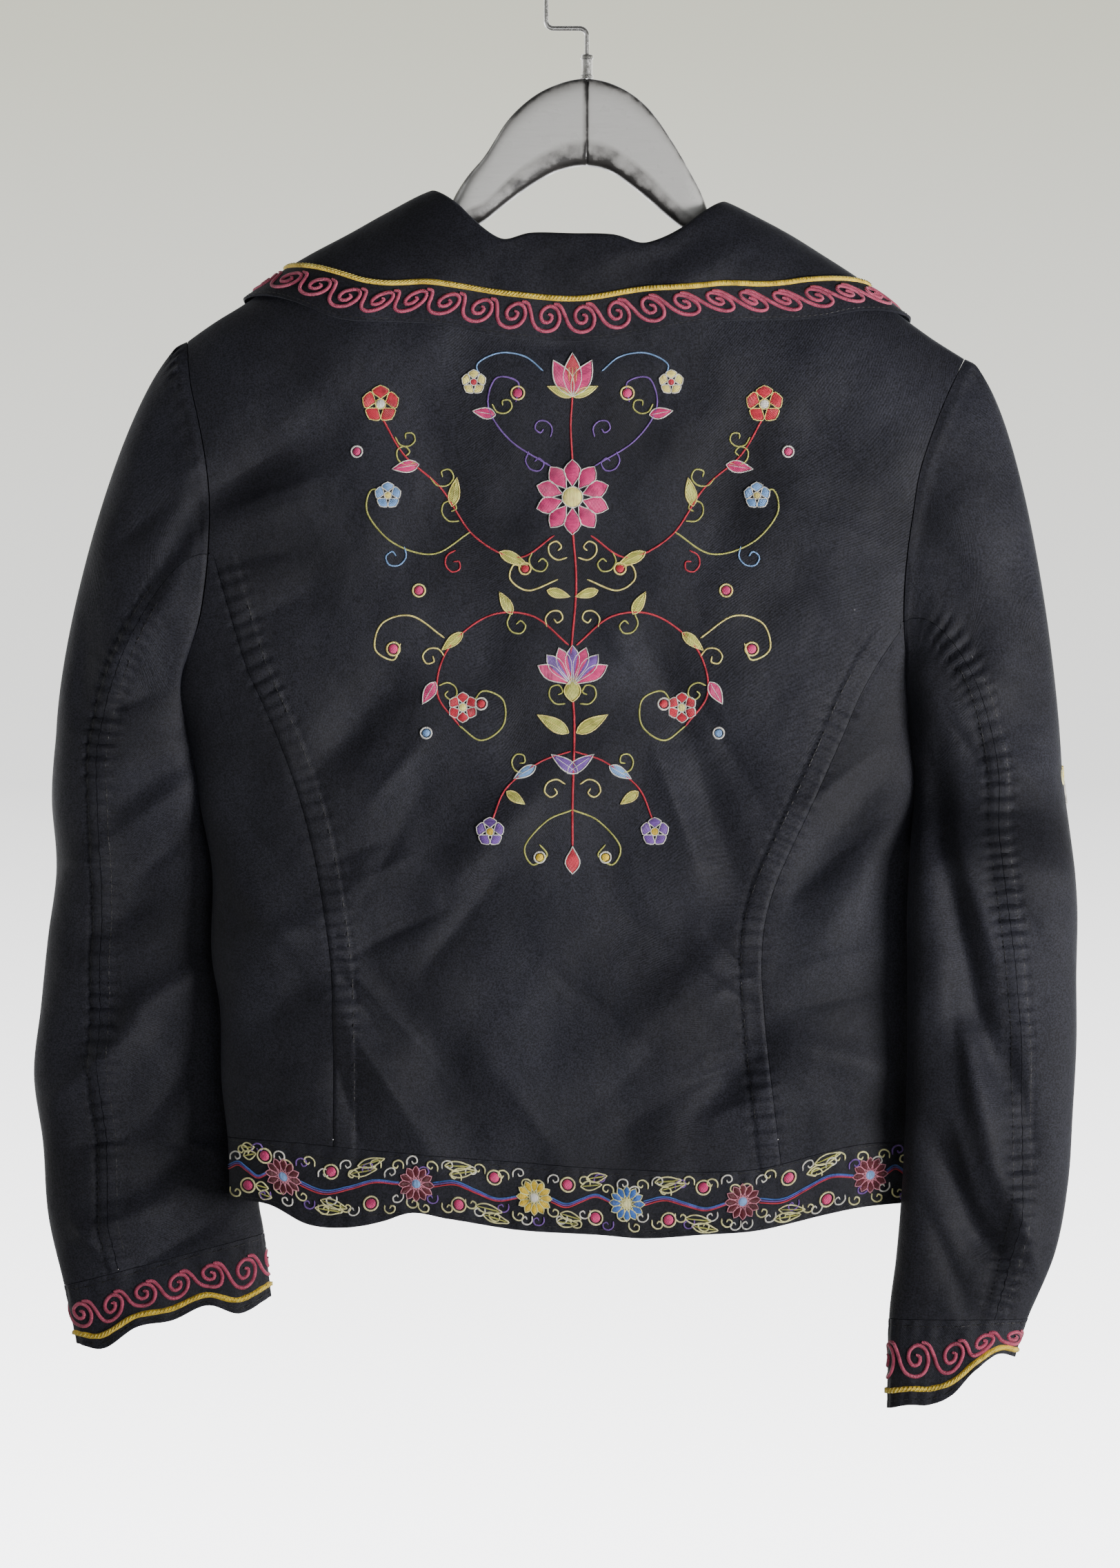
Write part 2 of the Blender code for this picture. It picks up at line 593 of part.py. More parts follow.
def face_normals(points, closed):
    """Vertex normals of a grid of points, from its neighbours."""
    ahead, behind = np.roll(points, -1, axis=1), np.roll(points, 1, axis=1)
    if not closed:
        ahead[:, -1], behind[:, 0] = points[:, -1], points[:, 0]
    down, up = np.roll(points, -1, axis=0), np.roll(points, 1, axis=0)
    down[-1], up[0] = points[-1], points[0]
    return unit(np.cross(ahead - behind, down - up))


def surface_normals(surface, across, rows, last_row):
    """Normals of a surface function, from small steps along both of its measures."""
    step = 0.01
    below, above = np.minimum(rows + step, last_row), np.maximum(rows - step, 0)
    sideways = surface(across + step, rows) - surface(across - step, rows)
    downwards = surface(across, below) - surface(across, above)
    return unit(np.cross(sideways, downwards))


def pull_in(outer, inner, edges, gap):
    """Draw chosen edges of a wall back by half of the seam's gap."""
    places = {"first_row": ((0, slice(None)), (1, slice(None))),
              "last_row": ((-1, slice(None)), (-2, slice(None))),
              "first_column": ((slice(None), 0), (slice(None), 1)),
              "last_column": ((slice(None), -1), (slice(None), -2))}
    for edge in edges:
        here, next_to = places[edge]
        shift = unit(outer[next_to] - outer[here]) * gap
        outer[here] += shift
        inner[here] += shift


def wall_mesh(name, outer, inner, closed=False):
    """A closed solid between two grids of points, open in the middle where closed is set."""
    rows, columns = outer.shape[:2]
    count = rows * columns
    faces = []
    last = columns if closed else columns - 1

    def outer_at(i, j):
        return i * columns + j % columns

    def inner_at(i, j):
        return count + outer_at(i, j)

    for i in range(rows - 1):
        for j in range(last):
            faces.append((outer_at(i, j), outer_at(i, j + 1), outer_at(i + 1, j + 1), outer_at(i + 1, j)))
            faces.append((inner_at(i, j), inner_at(i + 1, j), inner_at(i + 1, j + 1), inner_at(i, j + 1)))
    for j in range(last):
        faces.append((outer_at(0, j), inner_at(0, j), inner_at(0, j + 1), outer_at(0, j + 1)))
        end = rows - 1
        faces.append((outer_at(end, j), outer_at(end, j + 1), inner_at(end, j + 1), inner_at(end, j)))
    if not closed:
        for i in range(rows - 1):
            faces.append((outer_at(i, 0), outer_at(i + 1, 0), inner_at(i + 1, 0), inner_at(i, 0)))
            end = columns - 1
            faces.append((outer_at(i, end), inner_at(i, end), inner_at(i + 1, end), outer_at(i + 1, end)))
    return solid_mesh(name, np.concatenate([outer.reshape(-1, 3), inner.reshape(-1, 3)]), faces)


def solid_mesh(name, points, faces):
    """A mesh from points in millimetres, with its faces turned outwards."""
    mesh = bpy.data.meshes.new(name)
    mesh.from_pydata([tuple(point) for point in points * MM], [], faces)
    work = bmesh.new()
    work.from_mesh(mesh)
    bmesh.ops.recalc_face_normals(work, faces=work.faces)
    work.to_mesh(mesh)
    work.free()
    mesh.shade_smooth()
    mesh.set_sharp_from_angle(angle=math.radians(SHARP_ANGLE))
    return mesh


def outward(normals, points, hollow):
    """Normals turned to point away from the hollow that a wall goes round."""
    return normals * np.sign(np.mean(np.sum(normals * (points - hollow), axis=-1)))


def material(name, colour, roughness, metallic=0.0):
    made = bpy.data.materials.new(name)
    made.use_nodes = True
    shader = made.node_tree.nodes["Principled BSDF"]
    shader.inputs["Base Color"].default_value = (*colour, 1.0)
    shader.inputs["Roughness"].default_value = roughness
    shader.inputs["Metallic"].default_value = metallic
    return made


class Blazer:
    """Makes the objects and keeps them in one collection under one empty."""

    def __init__(self):
        self.collection = bpy.data.collections.new("blazer_on_hanger")
        bpy.context.scene.collection.children.link(self.collection)
        self.root = bpy.data.objects.new("blazer_root", None)
        self.collection.objects.link(self.root)
        self.cloth = material("black_cloth", (0.012, 0.012, 0.015), 0.85)
        self.horn = material("black_button", (0.015, 0.015, 0.016), 0.35)
        self.wood = material("black_wood", (0.02, 0.019, 0.018), 0.4)
        self.steel = material("hook_steel", (0.55, 0.55, 0.56), 0.3, 1.0)

    def add(self, name, data, finish):
        thing = bpy.data.objects.new(name, data)
        data.materials.append(finish)
        thing.parent = self.root
        self.collection.objects.link(thing)
        return thing

    def panel(self, name, surface, across, rows, edges, hollow):
        """A cloth panel from a surface function over (across, row)."""
        grid_across, grid_rows = np.meshgrid(across, rows)
        outer = surface(grid_across, grid_rows)
        normals = surface_normals(surface, grid_across, grid_rows, rows[-1])
        inner = outer - outward(normals, outer, hollow(outer, grid_rows)) * WALL
        pull_in(outer, inner, edges, SEAM_GAP / 2)
        return self.add(name, wall_mesh(name, outer, inner), self.cloth)


def torso_hollow(points, rows):
    """The middle of the torso at the height of each point."""
    return points * np.array([0, 0, 1]) + np.array([CENTRE_X, 0, 0])


def torso_rows(first=0):
    upper = np.arange(first, ARMHOLE_ROWS) / ARMHOLE_ROWS
    return np.concatenate([upper, np.linspace(1, 2, BODY_ROWS + 1)])


def back_columns():
    """Columns of the middle back, so that its shoulder seams match those of the fronts."""
    left, right = back_edge_angle("left", np.array(0.0)), back_edge_angle("right", np.array(0.0))
    stops = [left]
    stops.append(plan_angle(np.array(NECK_POINT["left"][0]), NECK_POINT["left"][1]))
    stops.append(plan_angle(np.array(NECK_POINT["right"][0]), NECK_POINT["right"][1]))
    stops.append(right)
    shoulder = np.arange(SHOULDER_COLUMNS) / SHOULDER_COLUMNS
    even = np.arange(NECK_COLUMNS) / NECK_COLUMNS
    neck = mix(even, (1 - np.cos(np.pi * even)) / 2, NECK_CROWDING)
    shares = (shoulder, neck, shoulder)
    angles = [mix(stops[i], stops[i + 1], shares[i]) for i in range(3)]
    angles = np.concatenate(angles + [[right]])
    return (angles - left) / (right - left)


def build_back(blazer):
    def surface(across, row):
        angle = mix(back_edge_angle("left", row), back_edge_angle("right", row), across)
        return torso(angle, row, "back")

    edges = ("first_column", "last_column", "first_row", "last_row")
    blazer.panel("back_middle", surface, back_columns(), torso_rows(), edges, torso_hollow)


def build_side_back(blazer, side):
    def surface(across, row):
        inner = angle_on_line(princess_at[side], row, "back", TIP[side][0])
        return torso(mix(inner, armhole_angle(side, row, "back"), across), row, "back")

    edges = ("first_column", "last_column", "last_row")
    across = np.linspace(0, 1, SIDE_COLUMNS + 1)
    rows = torso_rows(SEAM_ROW[side])
    blazer.panel("back_side_" + side, surface, across, rows, edges, torso_hollow)


def build_front(blazer, side):
    def surface(across, row):
        angle = mix(armhole_angle(side, row, "front"), neckline_angle(side, row), across)
        return lapped(torso(angle, row, "front"), side)

    edges = ("first_column", "first_row", "last_row")
    across = np.linspace(0, 1, SHOULDER_COLUMNS + 1)
    blazer.panel("front_" + side, surface, across, torso_rows(), edges, torso_hollow)


def build_bands(blazer):
    """The hem band: one piece on the back and one on each front."""
    rows = np.linspace(0, 1, BAND_ROWS + 1)
    bottom = np.array(2.0)
    seams = [float(back_edge_angle(side, bottom)) for side in SIGN]
    sides = np.linspace(-np.pi / 2, seams[0], SIDE_COLUMNS + 1)[:-1]
    other_sides = np.linspace(seams[1], np.pi / 2, SIDE_COLUMNS + 1)[1:]
    angles = np.concatenate([sides, mix(seams[0], seams[1], back_columns()), other_sides])

    def back(across, row):
        return band_point(mix(-np.pi / 2, np.pi / 2, across), row, "back")

    edges = ("first_column", "last_column", "first_row")
    blazer.panel("hem_band_back", back, angles / np.pi + 0.5, rows, edges, torso_hollow)
    for side, sign in SIGN.items():
        def front(across, row, side=side, sign=sign):
            end = float(neckline_angle(side, bottom))
            return lapped(band_point(mix(sign * np.pi / 2, end, across), row, "front"), side)

        edges = ("first_column", "first_row")
        name = "hem_band_front_" + side
        blazer.panel(name, front, np.linspace(0, 1, SHOULDER_COLUMNS + 1), rows, edges, torso_hollow)


def band_point(angle, row, face):
    x = CENTRE_X + TIP["right"][0] * np.sin(angle) + 0 * row
    for _ in range(SOLVE_STEPS):
        top = band_top_at(x) if face == "back" else band_line(x, "top")
        hem = band_hem_at(x) if face == "back" else band_line(x, "hem")
        z = mix(top, hem, row)
        centre, half = middle_and_half(z)
        x = centre + half * np.sin(angle)
    return np.stack([x, torso_y(angle, x, z, face), z], axis=-1)


def sleeve_rows():
    below = np.linspace(1, CUFF_RING + 1, CUFF_RING * RING_STEPS + 1)
    return np.concatenate([np.arange(CAP_ROWS) / CAP_ROWS, below])


def build_sleeve(blazer, side):
    """Upper and under sleeve, parted by the back seam and a front seam.

    Each piece is one cut of cloth. Its solid is parted at the underarm and at the elbow,
    so that every stretch is a simple shape that bends round its own hollow.
    """
    start = SEAM_ROW[side] * 180 / ARMHOLE_ROWS
    whole_turn = 360.0
    upper_columns = 2 * SEAM_ROW[side]
    under_columns = 2 * (ARMHOLE_ROWS - SEAM_ROW[side])

    def upper(across, row):
        back_seam = sleeve_seam_at[side](row)
        turn = np.where(across < 0.5, mix(-start, 0, across * 2), mix(0, back_seam, across * 2 - 1))
        return sleeve(side, turn % whole_turn, row)

    def under(across, row):
        return sleeve(side, mix(sleeve_seam_at[side](row), whole_turn - start, across), row)

    def hollow(points, grid_rows):
        return sleeve_middle(side, grid_rows)

    all_rows = sleeve_rows()
    pieces = (("sleeve_upper_", upper, upper_columns), ("sleeve_under_", under, under_columns))
    for piece, surface, columns in pieces:
        for stretch, first, last in SLEEVE_STRETCHES:
            rows = all_rows[(all_rows >= first) & (all_rows <= last)]
            edges = ("first_column", "last_column", "last_row")
            if first > 0:
                edges = edges + ("first_row",)
            across = np.linspace(0, 1, columns + 1)
            blazer.panel(f"{piece}{side}_{stretch}", surface, across, rows, edges, hollow)


def sleeve_middle(side, rows):
    """The middle of the sleeve's hollow at each row."""
    return (sleeve(side, 0 * rows, rows) + sleeve(side, 0 * rows + 180, rows)) / 2


def build_cuff(blazer, side):
    turns = np.arange(CUFF_COLUMNS) * 360 / CUFF_COLUMNS
    rows = CUFF_RING + 1 + np.linspace(0, 1, CUFF_ROWS + 1)
    grid_turns, grid_rows = np.meshgrid(turns, rows)
    outer = sleeve(side, grid_turns, grid_rows)
    normals = face_normals(outer, True)
    inner = outer - outward(normals, outer, sleeve_middle(side, grid_rows)) * WALL
    pull_in(outer, inner, ("first_row",), SEAM_GAP / 2)
    blazer.add("cuff_" + side, wall_mesh("cuff_" + side, outer, inner, True), blazer.cloth)


def build_collar(blazer):
    stations = np.linspace(-8, 8, COLLAR_COLUMNS + 1)
    fold = 1 + np.linspace(0, 1, COLLAR_FOLD_ROWS + 1)
    fall = 2 + np.linspace(0, 1, COLLAR_FALL_ROWS + 1)[1:]
    rows = np.concatenate([[0, 0.5], fold, fall])
    outer = np.stack([collar(stations, row) for row in rows])
    normals = outward(face_normals(outer, False), outer, torso_hollow(outer, rows))
    blazer.add("collar", wall_mesh("collar", outer, outer - normals * COLLAR_WALL), blazer.cloth)


def build_buttons(blazer):
    for number, height in enumerate(BUTTON_HEIGHTS, 1):
        angle = plan_angle(np.array(CENTRE_X), height)
        front = float(torso_y(angle, CENTRE_X, height, "front"))
        y = front + SEAM_GAP + BUTTON_THICKNESS / 2
        bpy.ops.mesh.primitive_cylinder_add(
            vertices=BUTTON_SIDES, radius=BUTTON_RADIUS * MM, depth=BUTTON_THICKNESS * MM,
            location=(CENTRE_X * MM, y * MM, height * MM), rotation=(math.radians(90), 0, 0))
        button = bpy.context.object
        button.name = f"button_{number}"
        button.data.materials.append(blazer.horn)
        bevel = button.modifiers.new("edge", "BEVEL")
        bevel.width = BUTTON_EDGE * MM
        bevel.segments = 1
        for owner in button.users_collection:
            owner.objects.unlink(button)
        blazer.collection.objects.link(button)
        button.parent = blazer.root


def hanger_slices():
    """All slices of the hanger, from its left tip to its right one."""
    slices = list(HANGER_NECK[1:])
    for arm in (HANGER_LEFT_ARM, HANGER_RIGHT_ARM):
        for x, height, thickness in arm[1:]:
            top = float(shoulder_at(x)) - HANGER_SEAT
            slices.append((x, top, top - height, thickness))
    return sorted(slices)


def hanger_ring(x, top, bottom, thickness):
    """One upright slice of the hanger, squarer at the neck than in the arms."""
    turns = np.arange(HANGER_RING_POINTS) * 2 * np.pi / HANGER_RING_POINTS
    fade = ease((abs(x) - NECK_REACH[0]) / (NECK_REACH[1] - NECK_REACH[0]))
    power = 2 / mix(NECK_SQUARENESS, ARM_SQUARENESS, fade)
    y = np.sign(np.cos(turns)) * np.abs(np.cos(turns)) ** power * thickness / 2
    z = np.sign(np.sin(turns)) * np.abs(np.sin(turns)) ** power * (top - bottom) / 2
    return np.stack([np.full_like(y, x), y, z + (top + bottom) / 2], axis=-1)


def build_hanger(blazer):
    rings = np.stack([hanger_ring(*row) for row in hanger_slices()])
    slices, count = rings.shape[:2]
    faces = [tuple(range(count - 1, -1, -1))]
    faces.append(tuple((slices - 1) * count + j for j in range(count)))
    for i in range(slices - 1):
        for j in range(count):
            k = (j + 1) % count
            faces.append((i * count + j, i * count + k, (i + 1) * count + k, (i + 1) * count + j))
    blazer.add("hanger_wood", solid_mesh("hanger_wood", rings.reshape(-1, 3), faces), blazer.wood)


def hook_route():
    """Centreline of the wire, from the wood up over the rail to its free end."""
    top = WIRE_RADIUS
    middle = top - HOOK_RADIUS
    bend = HOOK_BEND_RADIUS
    points = [(0.0, WOOD_TOP + SEAM_GAP), (0.0, HOOK_JOG_Z - bend)]
    for degrees in HOOK_BEND_DEGREES:
        turn = math.radians(degrees)
        points.append((-bend + bend * math.cos(turn), HOOK_JOG_Z - bend + bend * math.sin(turn)))
    corner = -HOOK_RADIUS + bend
    points.append((corner, HOOK_JOG_Z))
    for degrees in HOOK_BEND_DEGREES:
        turn = math.radians(degrees)
        points.append((corner - bend * math.sin(turn), HOOK_JOG_Z + bend - bend * math.cos(turn)))
    for degrees in range(180, -1, -HOOK_ARC_STEP):
        turn = math.radians(degrees)
        points.append((HOOK_RADIUS * math.cos(turn), middle + HOOK_RADIUS * math.sin(turn)))
    points.append((HOOK_RADIUS, middle - HOOK_END_DROP))
    return points


def build_hook(blazer):
    curve = bpy.data.curves.new("hanger_hook", "CURVE")
    curve.dimensions = "3D"
    curve.bevel_depth = WIRE_RADIUS * MM
    curve.bevel_resolution = 2
    curve.use_fill_caps = True
    route = hook_route()
    spline = curve.splines.new("POLY")
    spline.points.add(len(route) - 1)
    for point, (x, z) in zip(spline.points, route):
        point.co = (x * MM, 0, z * MM, 1)
    blazer.add("hanger_hook", curve, blazer.steel)


def build_ferrule(blazer):
    bottom = WOOD_TOP + SEAM_GAP
    profile = [(FERRULE_BORE, bottom), (FERRULE_BORE, FERRULE_TOP),
               (FERRULE_RADIUS - FERRULE_RIM, FERRULE_TOP), (FERRULE_RADIUS, FERRULE_TOP - FERRULE_RIM),
               (FERRULE_RADIUS, bottom)]
    count = len(profile)
    mesh = bpy.data.meshes.new("hook_ferrule")
    edges = [(i, (i + 1) % count) for i in range(count)]
    mesh.from_pydata([(x * MM, 0, z * MM) for x, z in profile], edges, [])
    ferrule = blazer.add("hook_ferrule", mesh, blazer.steel)
    screw = ferrule.modifiers.new("turn", "SCREW")
    screw.steps = FERRULE_STEPS
    screw.render_steps = FERRULE_STEPS
    screw.use_merge_vertices = True
    screw.merge_threshold = 0.00001


def main():
    for thing in list(bpy.data.objects):
        bpy.data.objects.remove(thing)
    blazer = Blazer()
    build_back(blazer)
    for side in SIGN:
        build_side_back(blazer, side)
        build_front(blazer, side)
        build_sleeve(blazer, side)
        build_cuff(blazer, side)
    build_bands(blazer)
    build_collar(blazer)
    build_buttons(blazer)
    build_hanger(blazer)
    build_hook(blazer)
    build_ferrule(blazer)


main()
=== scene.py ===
"""Looks of a fitted black blazer on a wooden hanger: cloth shells, embroidery, sewing.

Lengths are in millimetres in the tables and functions, and in metres in the meshes.
The blazer's shapes come from the same sizes as its solids.
"""

import math

import bmesh
import bpy
import numpy as np
from mathutils import Matrix, Vector


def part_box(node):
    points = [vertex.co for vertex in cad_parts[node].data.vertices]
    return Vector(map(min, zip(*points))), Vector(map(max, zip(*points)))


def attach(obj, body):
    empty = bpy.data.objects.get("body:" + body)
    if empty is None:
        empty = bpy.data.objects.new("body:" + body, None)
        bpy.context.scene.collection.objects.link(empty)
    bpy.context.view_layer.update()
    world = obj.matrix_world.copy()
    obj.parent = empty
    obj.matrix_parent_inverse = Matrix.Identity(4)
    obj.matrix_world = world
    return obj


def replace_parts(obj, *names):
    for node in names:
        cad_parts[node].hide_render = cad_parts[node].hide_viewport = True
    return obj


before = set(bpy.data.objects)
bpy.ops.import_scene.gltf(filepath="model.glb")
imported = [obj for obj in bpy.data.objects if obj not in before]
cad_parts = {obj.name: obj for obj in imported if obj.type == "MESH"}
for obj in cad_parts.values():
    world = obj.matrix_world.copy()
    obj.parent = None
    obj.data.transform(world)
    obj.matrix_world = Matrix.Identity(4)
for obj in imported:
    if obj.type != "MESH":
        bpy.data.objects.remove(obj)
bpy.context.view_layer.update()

MM = 0.001
SOLVE_STEPS = 20            # rounds in which a point settles on its line and its row
SHARP_ANGLE = 50            # degrees between faces that meet in a hard edge
WALL = 1.3                  # cloth with its fusing
SEAM_GAP = 0.3              # between two pieces that are sewn together
COLLAR_WALL = 1.4
CENTRE_X = -8.0             # the blazer hangs a little to the left of the hook

# Torso depth, front to back, and how far below the shoulder line it is reached
BACK_DEPTH = 30.0
FRONT_DEPTH = 26.0
DEPTH_REACH = 78.0
SIDE_FULLNESS = 0.6         # 0 gives an ellipse in plan, more gives fuller sides

# Rows of the torso over the armhole
ARMHOLE_ROWS = 12

# Shoulder tips, underarm points and neck points, as (x, z)
TIP = {"left": (-220.0, -214.3), "right": (208.0, -223.8)}
UNDERARM = {"left": (-227.6, -405.8), "right": (182.0, -427.0)}
NECK_POINT = {"left": (-84.0, -143.0), "right": (74.0, -149.5)}
SEAM_ROW = {"left": 7, "right": 8}      # armhole row where princess and sleeve seams meet
SIGN = {"left": -1.0, "right": 1.0}

# Outline of the body seen from behind. Above the underarm it runs inside the sleeve.
BODY_EDGE = (
    ("z", "left", "right"),
    (-210, -258, 243), (-254, -252, 232), (-292, -246, 221), (-330, -240, 211),
    (-368, -234, 200), (-395, -229, 191), (-407, -227.8, 186.5), (-419, -224, 183.2),
    (-427, -221.5, 182), (-444, -217, 184), (-470, -213, 186), (-501, -207, 188),
    (-559, -206, 189), (-575, -203, 188), (-626, -201, 187), (-652, -198, 186),
    (-690, -197, 185), (-715, -197, 185),
)
ARMHOLE_LEFT = (
    ("z", "x"),
    (-214.3, -220), (-241, -217), (-254, -214), (-280, -209), (-300, -207), (-331, -207.5),
    (-347, -209), (-373, -214), (-390, -221), (-400, -226), (-405.8, -227.6),
)
ARMHOLE_RIGHT = (
    ("z", "x"),
    (-223.8, 208), (-246, 197), (-266, 189), (-288, 182), (-310, 178.5), (-331, 175.5),
    (-347, 174), (-378, 174), (-395, 176), (-419, 181), (-427, 182),
)
PRINCESS_LEFT = (
    ("z", "x"),
    (-330, -205.4), (-349, -200), (-373, -193), (-395, -186), (-415, -177), (-436, -168),
    (-474, -155), (-499, -149), (-528, -144), (-555, -140.5), (-592, -139), (-660, -139),
)
PRINCESS_RIGHT = (
    ("z", "x"),
    (-374, 171.8), (-388, 162), (-407, 151), (-432, 140), (-452, 131), (-474, 121),
    (-492, 112.5), (-515, 102.5), (-533, 97.5), (-559, 95.5), (-584, 97), (-610, 99.5),
    (-635, 102.5), (-665, 106),
)
# Ridge of the shoulders, with a virtual stretch across the neck
SHOULDER = (
    ("x", "z"),
    (-245, -236), (-220, -214.3), (-205, -203.6), (-190, -194.4), (-172, -182.4), (-153, -170.6),
    (-131.5, -159.2), (-110, -150.4), (-84, -143), (-50, -136.5), (-8, -133.5), (35, -138.5),
    (74, -149.5), (95, -156.4), (111.7, -163), (130, -172), (148, -182.6), (161, -191.4),
    (178, -203.8), (190, -212.4), (208, -223.8), (230, -238),
)
NECK_BACK = (
    ("x", "z"),
    (-84, -143), (-72, -157), (-50, -170), (-8, -176), (36, -173), (62, -163), (74, -149.5),
)
# Upper edge of the hem band and the hem itself, on the back and on the plain front
BAND_BACK = (
    ("x", "top", "hem"),
    (-200, -652, -686), (-174, -653.5, -688.6), (-153, -655, -699), (-132, -657, -700.7),
    (-111, -659, -697), (-98, -660, -692.8), (-76, -662, -695.8), (-41, -664.6, -701.5),
    (11, -668.4, -705), (26, -669, -706.4), (64, -670.3, -704.5), (95, -668.4, -701.9),
    (114, -664, -697.7), (127, -660.4, -694.5), (146, -656, -690.5), (188, -654, -687),
)
FRONT_BAND_TOP = -655.0
FRONT_HEM = -694.0
FRONT_LEVEL = (140.0, 50.0) # half width of the level part of the front, and the blend beside it

# Largest folds of the back and of the front: a ridge has a depth above 0, a trough below
BODY_FOLDS = (
    ("side", "x0", "z0", "x1", "z1", "width", "depth"),
    ("back", -205, -301, -142, -266, 13, -4.5),
    ("back", -204, -318, -158, -304, 9, 3.0),
    ("back", -150, -452, -109, -406, 13, -3.5),
    ("back", -133, -544, -81, -522, 12, -3.0),
    ("back", -78, -520, -15, -450, 15, 3.5),
    ("back", 29, -387, 51, -423, 14, -3.5),
    ("back", 51, -423, 84, -516, 13, -4.0),
    ("back", -198, -505, -173, -542, 10, 4.5),
    ("back", -173, -542, -153, -536, 9, 3.5),
    ("back", 168, -446, 118, -508, 12, -4.5),
    ("back", 176, -470, 130, -540, 12, 3.5),
    ("back", -149, -565, -187, -592, 12, -4.0),
    ("back", -142, -577, -81, -665, 12, 3.5),
    ("back", -118, -560, -60, -640, 14, -3.0),
    ("back", 62, -637, 95, -604, 12, -4.0),
    ("back", 20, -600, 80, -545, 15, 3.0),
    ("back", 112, -600, 172, -617, 10, 4.0),
    ("back", -95, -250, -60, -330, 20, -2.5),
    ("back", 95, -250, 70, -330, 20, -2.5),
    ("front", 150, -290, 60, -420, 16, -3.0),
    ("front", -165, -290, -70, -400, 16, -3.0),
    ("front", 165, -470, 70, -545, 14, -3.5),
    ("front", -180, -480, -85, -550, 14, -3.5),
    ("front", 120, -560, 75, -660, 14, 3.0),
    ("front", -130, -560, -90, -660, 14, 3.0),
)

# Front closing: the right front of the wearer laps over the left one
LAP = 15.0
LAP_STEP = 2.0
LAP_BLEND = (10.0, 45.0)    # where the step begins beside the centre, and how wide it is
LAP_SPREAD = 10             # rows of the turn from neckline to front edge, as 1 / rows
CLOSE_ROW = 1.0             # row at the bottom of the neckline

# Sleeves: outer and inner point of each ring, its middle in y and its half depth
SLEEVE_LEFT = (
    ("x_out", "z_out", "x_in", "z_in", "y", "half_depth"),
    (-293, -429, -222.5, -430, 9, 24), (-296, -467, -207, -469, 21, 24),
    (-294, -505, -197, -507, 26, 23), (-299, -543, -194, -545, 29, 22),
    (-303, -581, -192, -583, 31, 21), (-307, -619, -190, -620, 32, 20),
    (-302, -657, -186, -656, 32, 19), (-299, -697, -182, -690, 31, 17),
    (-290, -736, -179, -707, 29, 15), (-283, -768, -175, -742, 28, 14),
)
SLEEVE_RIGHT = (
    ("x_out", "z_out", "x_in", "z_in", "y", "half_depth"),
    (261, -448, 185.5, -449, -9, 24), (265, -486, 178, -486, -27, 23),
    (268, -524, 175, -524, -31, 22), (267.5, -562, 175, -562, -32, 21),
    (267.5, -600, 175, -600, -32, 20), (265.5, -638, 174, -640, -32, 19),
    (263, -676, 172, -680, -31, 18), (256, -714, 169, -716, -30, 16),
    (241, -750, 165, -750, -30, 14), (234, -771, 164, -799, -30, 13),
)
CUFF_RING = 8               # ring where the cuff begins, counted from 0
SLEEVE_FULLNESS = 0.3
# Stretches of a sleeve piece, each a solid of its own, as (name, first row, last row)
SLEEVE_STRETCHES = (("cap", 0.0, 1.0), ("arm", 1.0, 5.0), ("forearm", 5.0, 9.0))
CAP_REACH_OUT = (85.0, 30.0)
CAP_REACH_DOWN = (8.0, 200.0)
CAP_ROUND = 0.6             # less gives a cap that stays full further round
CAP_SIDE_DOWN = 35.0
CAP_SIDE_OUT = 8.0
UNDERARM_REACH = 25.0
UNDERARM_CLEAR = 0.5        # more room between sleeve and body under the arm
CUFF_WAVE = (
    ("across", "left", "right"),
    (0.0, 0.0, 0.0), (0.13, -6, 6), (0.32, 1.5, 3), (0.5, 0.5, -6), (0.68, 4, -6.5),
    (0.85, -5, -2), (1.0, 0.0, 0.0),
)
# Back seam of each sleeve: its angle on the ring, 0 at the outer side and 180 inside
SLEEVE_SEAM = (
    ("row", "left", "right"),
    (0.0, 105, 120), (0.35, 92, 104), (0.7, 82, 92), (1.0, 74, 88), (2.0, 66, 86),
    (3.0, 63, 81), (4.0, 65, 75), (6.0, 69, 68), (8.0, 66, 64), (9.0, 64, 60),
)
SLEEVE_FOLDS = (
    ("sleeve", "x0", "z0", "x1", "z1", "width", "depth"),
    ("left", -217, -442, -262, -470, 10, -4.0),
    ("left", -278, -345, -280, -415, 11, -4.0),
    ("left", -207, -556, -246, -581, 10, 4.0),
    ("left", -246, -581, -266, -615, 9, 3.5),
    ("left", -200, -640, -240, -678, 11, -4.5),
    ("left", -240, -520, -280, -545, 11, -3.0),
    ("left", -235, -690, -285, -712, 9, 3.0),
    ("right", 187, -400, 208, -432, 9, 4.5),
    ("right", 191, -440, 191, -491, 9, -5.0),
    ("right", 191, -491, 212, -584, 9, -5.5),
    ("right", 212, -584, 228, -622, 9, -4.0),
    ("right", 206, -596, 221, -666, 9, 5.0),
    ("right", 221, -666, 239, -703, 9, 4.5),
    ("right", 190, -656, 211, -701, 9, -4.5),
    ("right", 211, -701, 224, -716, 9, -4.0),
    ("right", 232, -330, 246, -420, 12, -3.0),
)

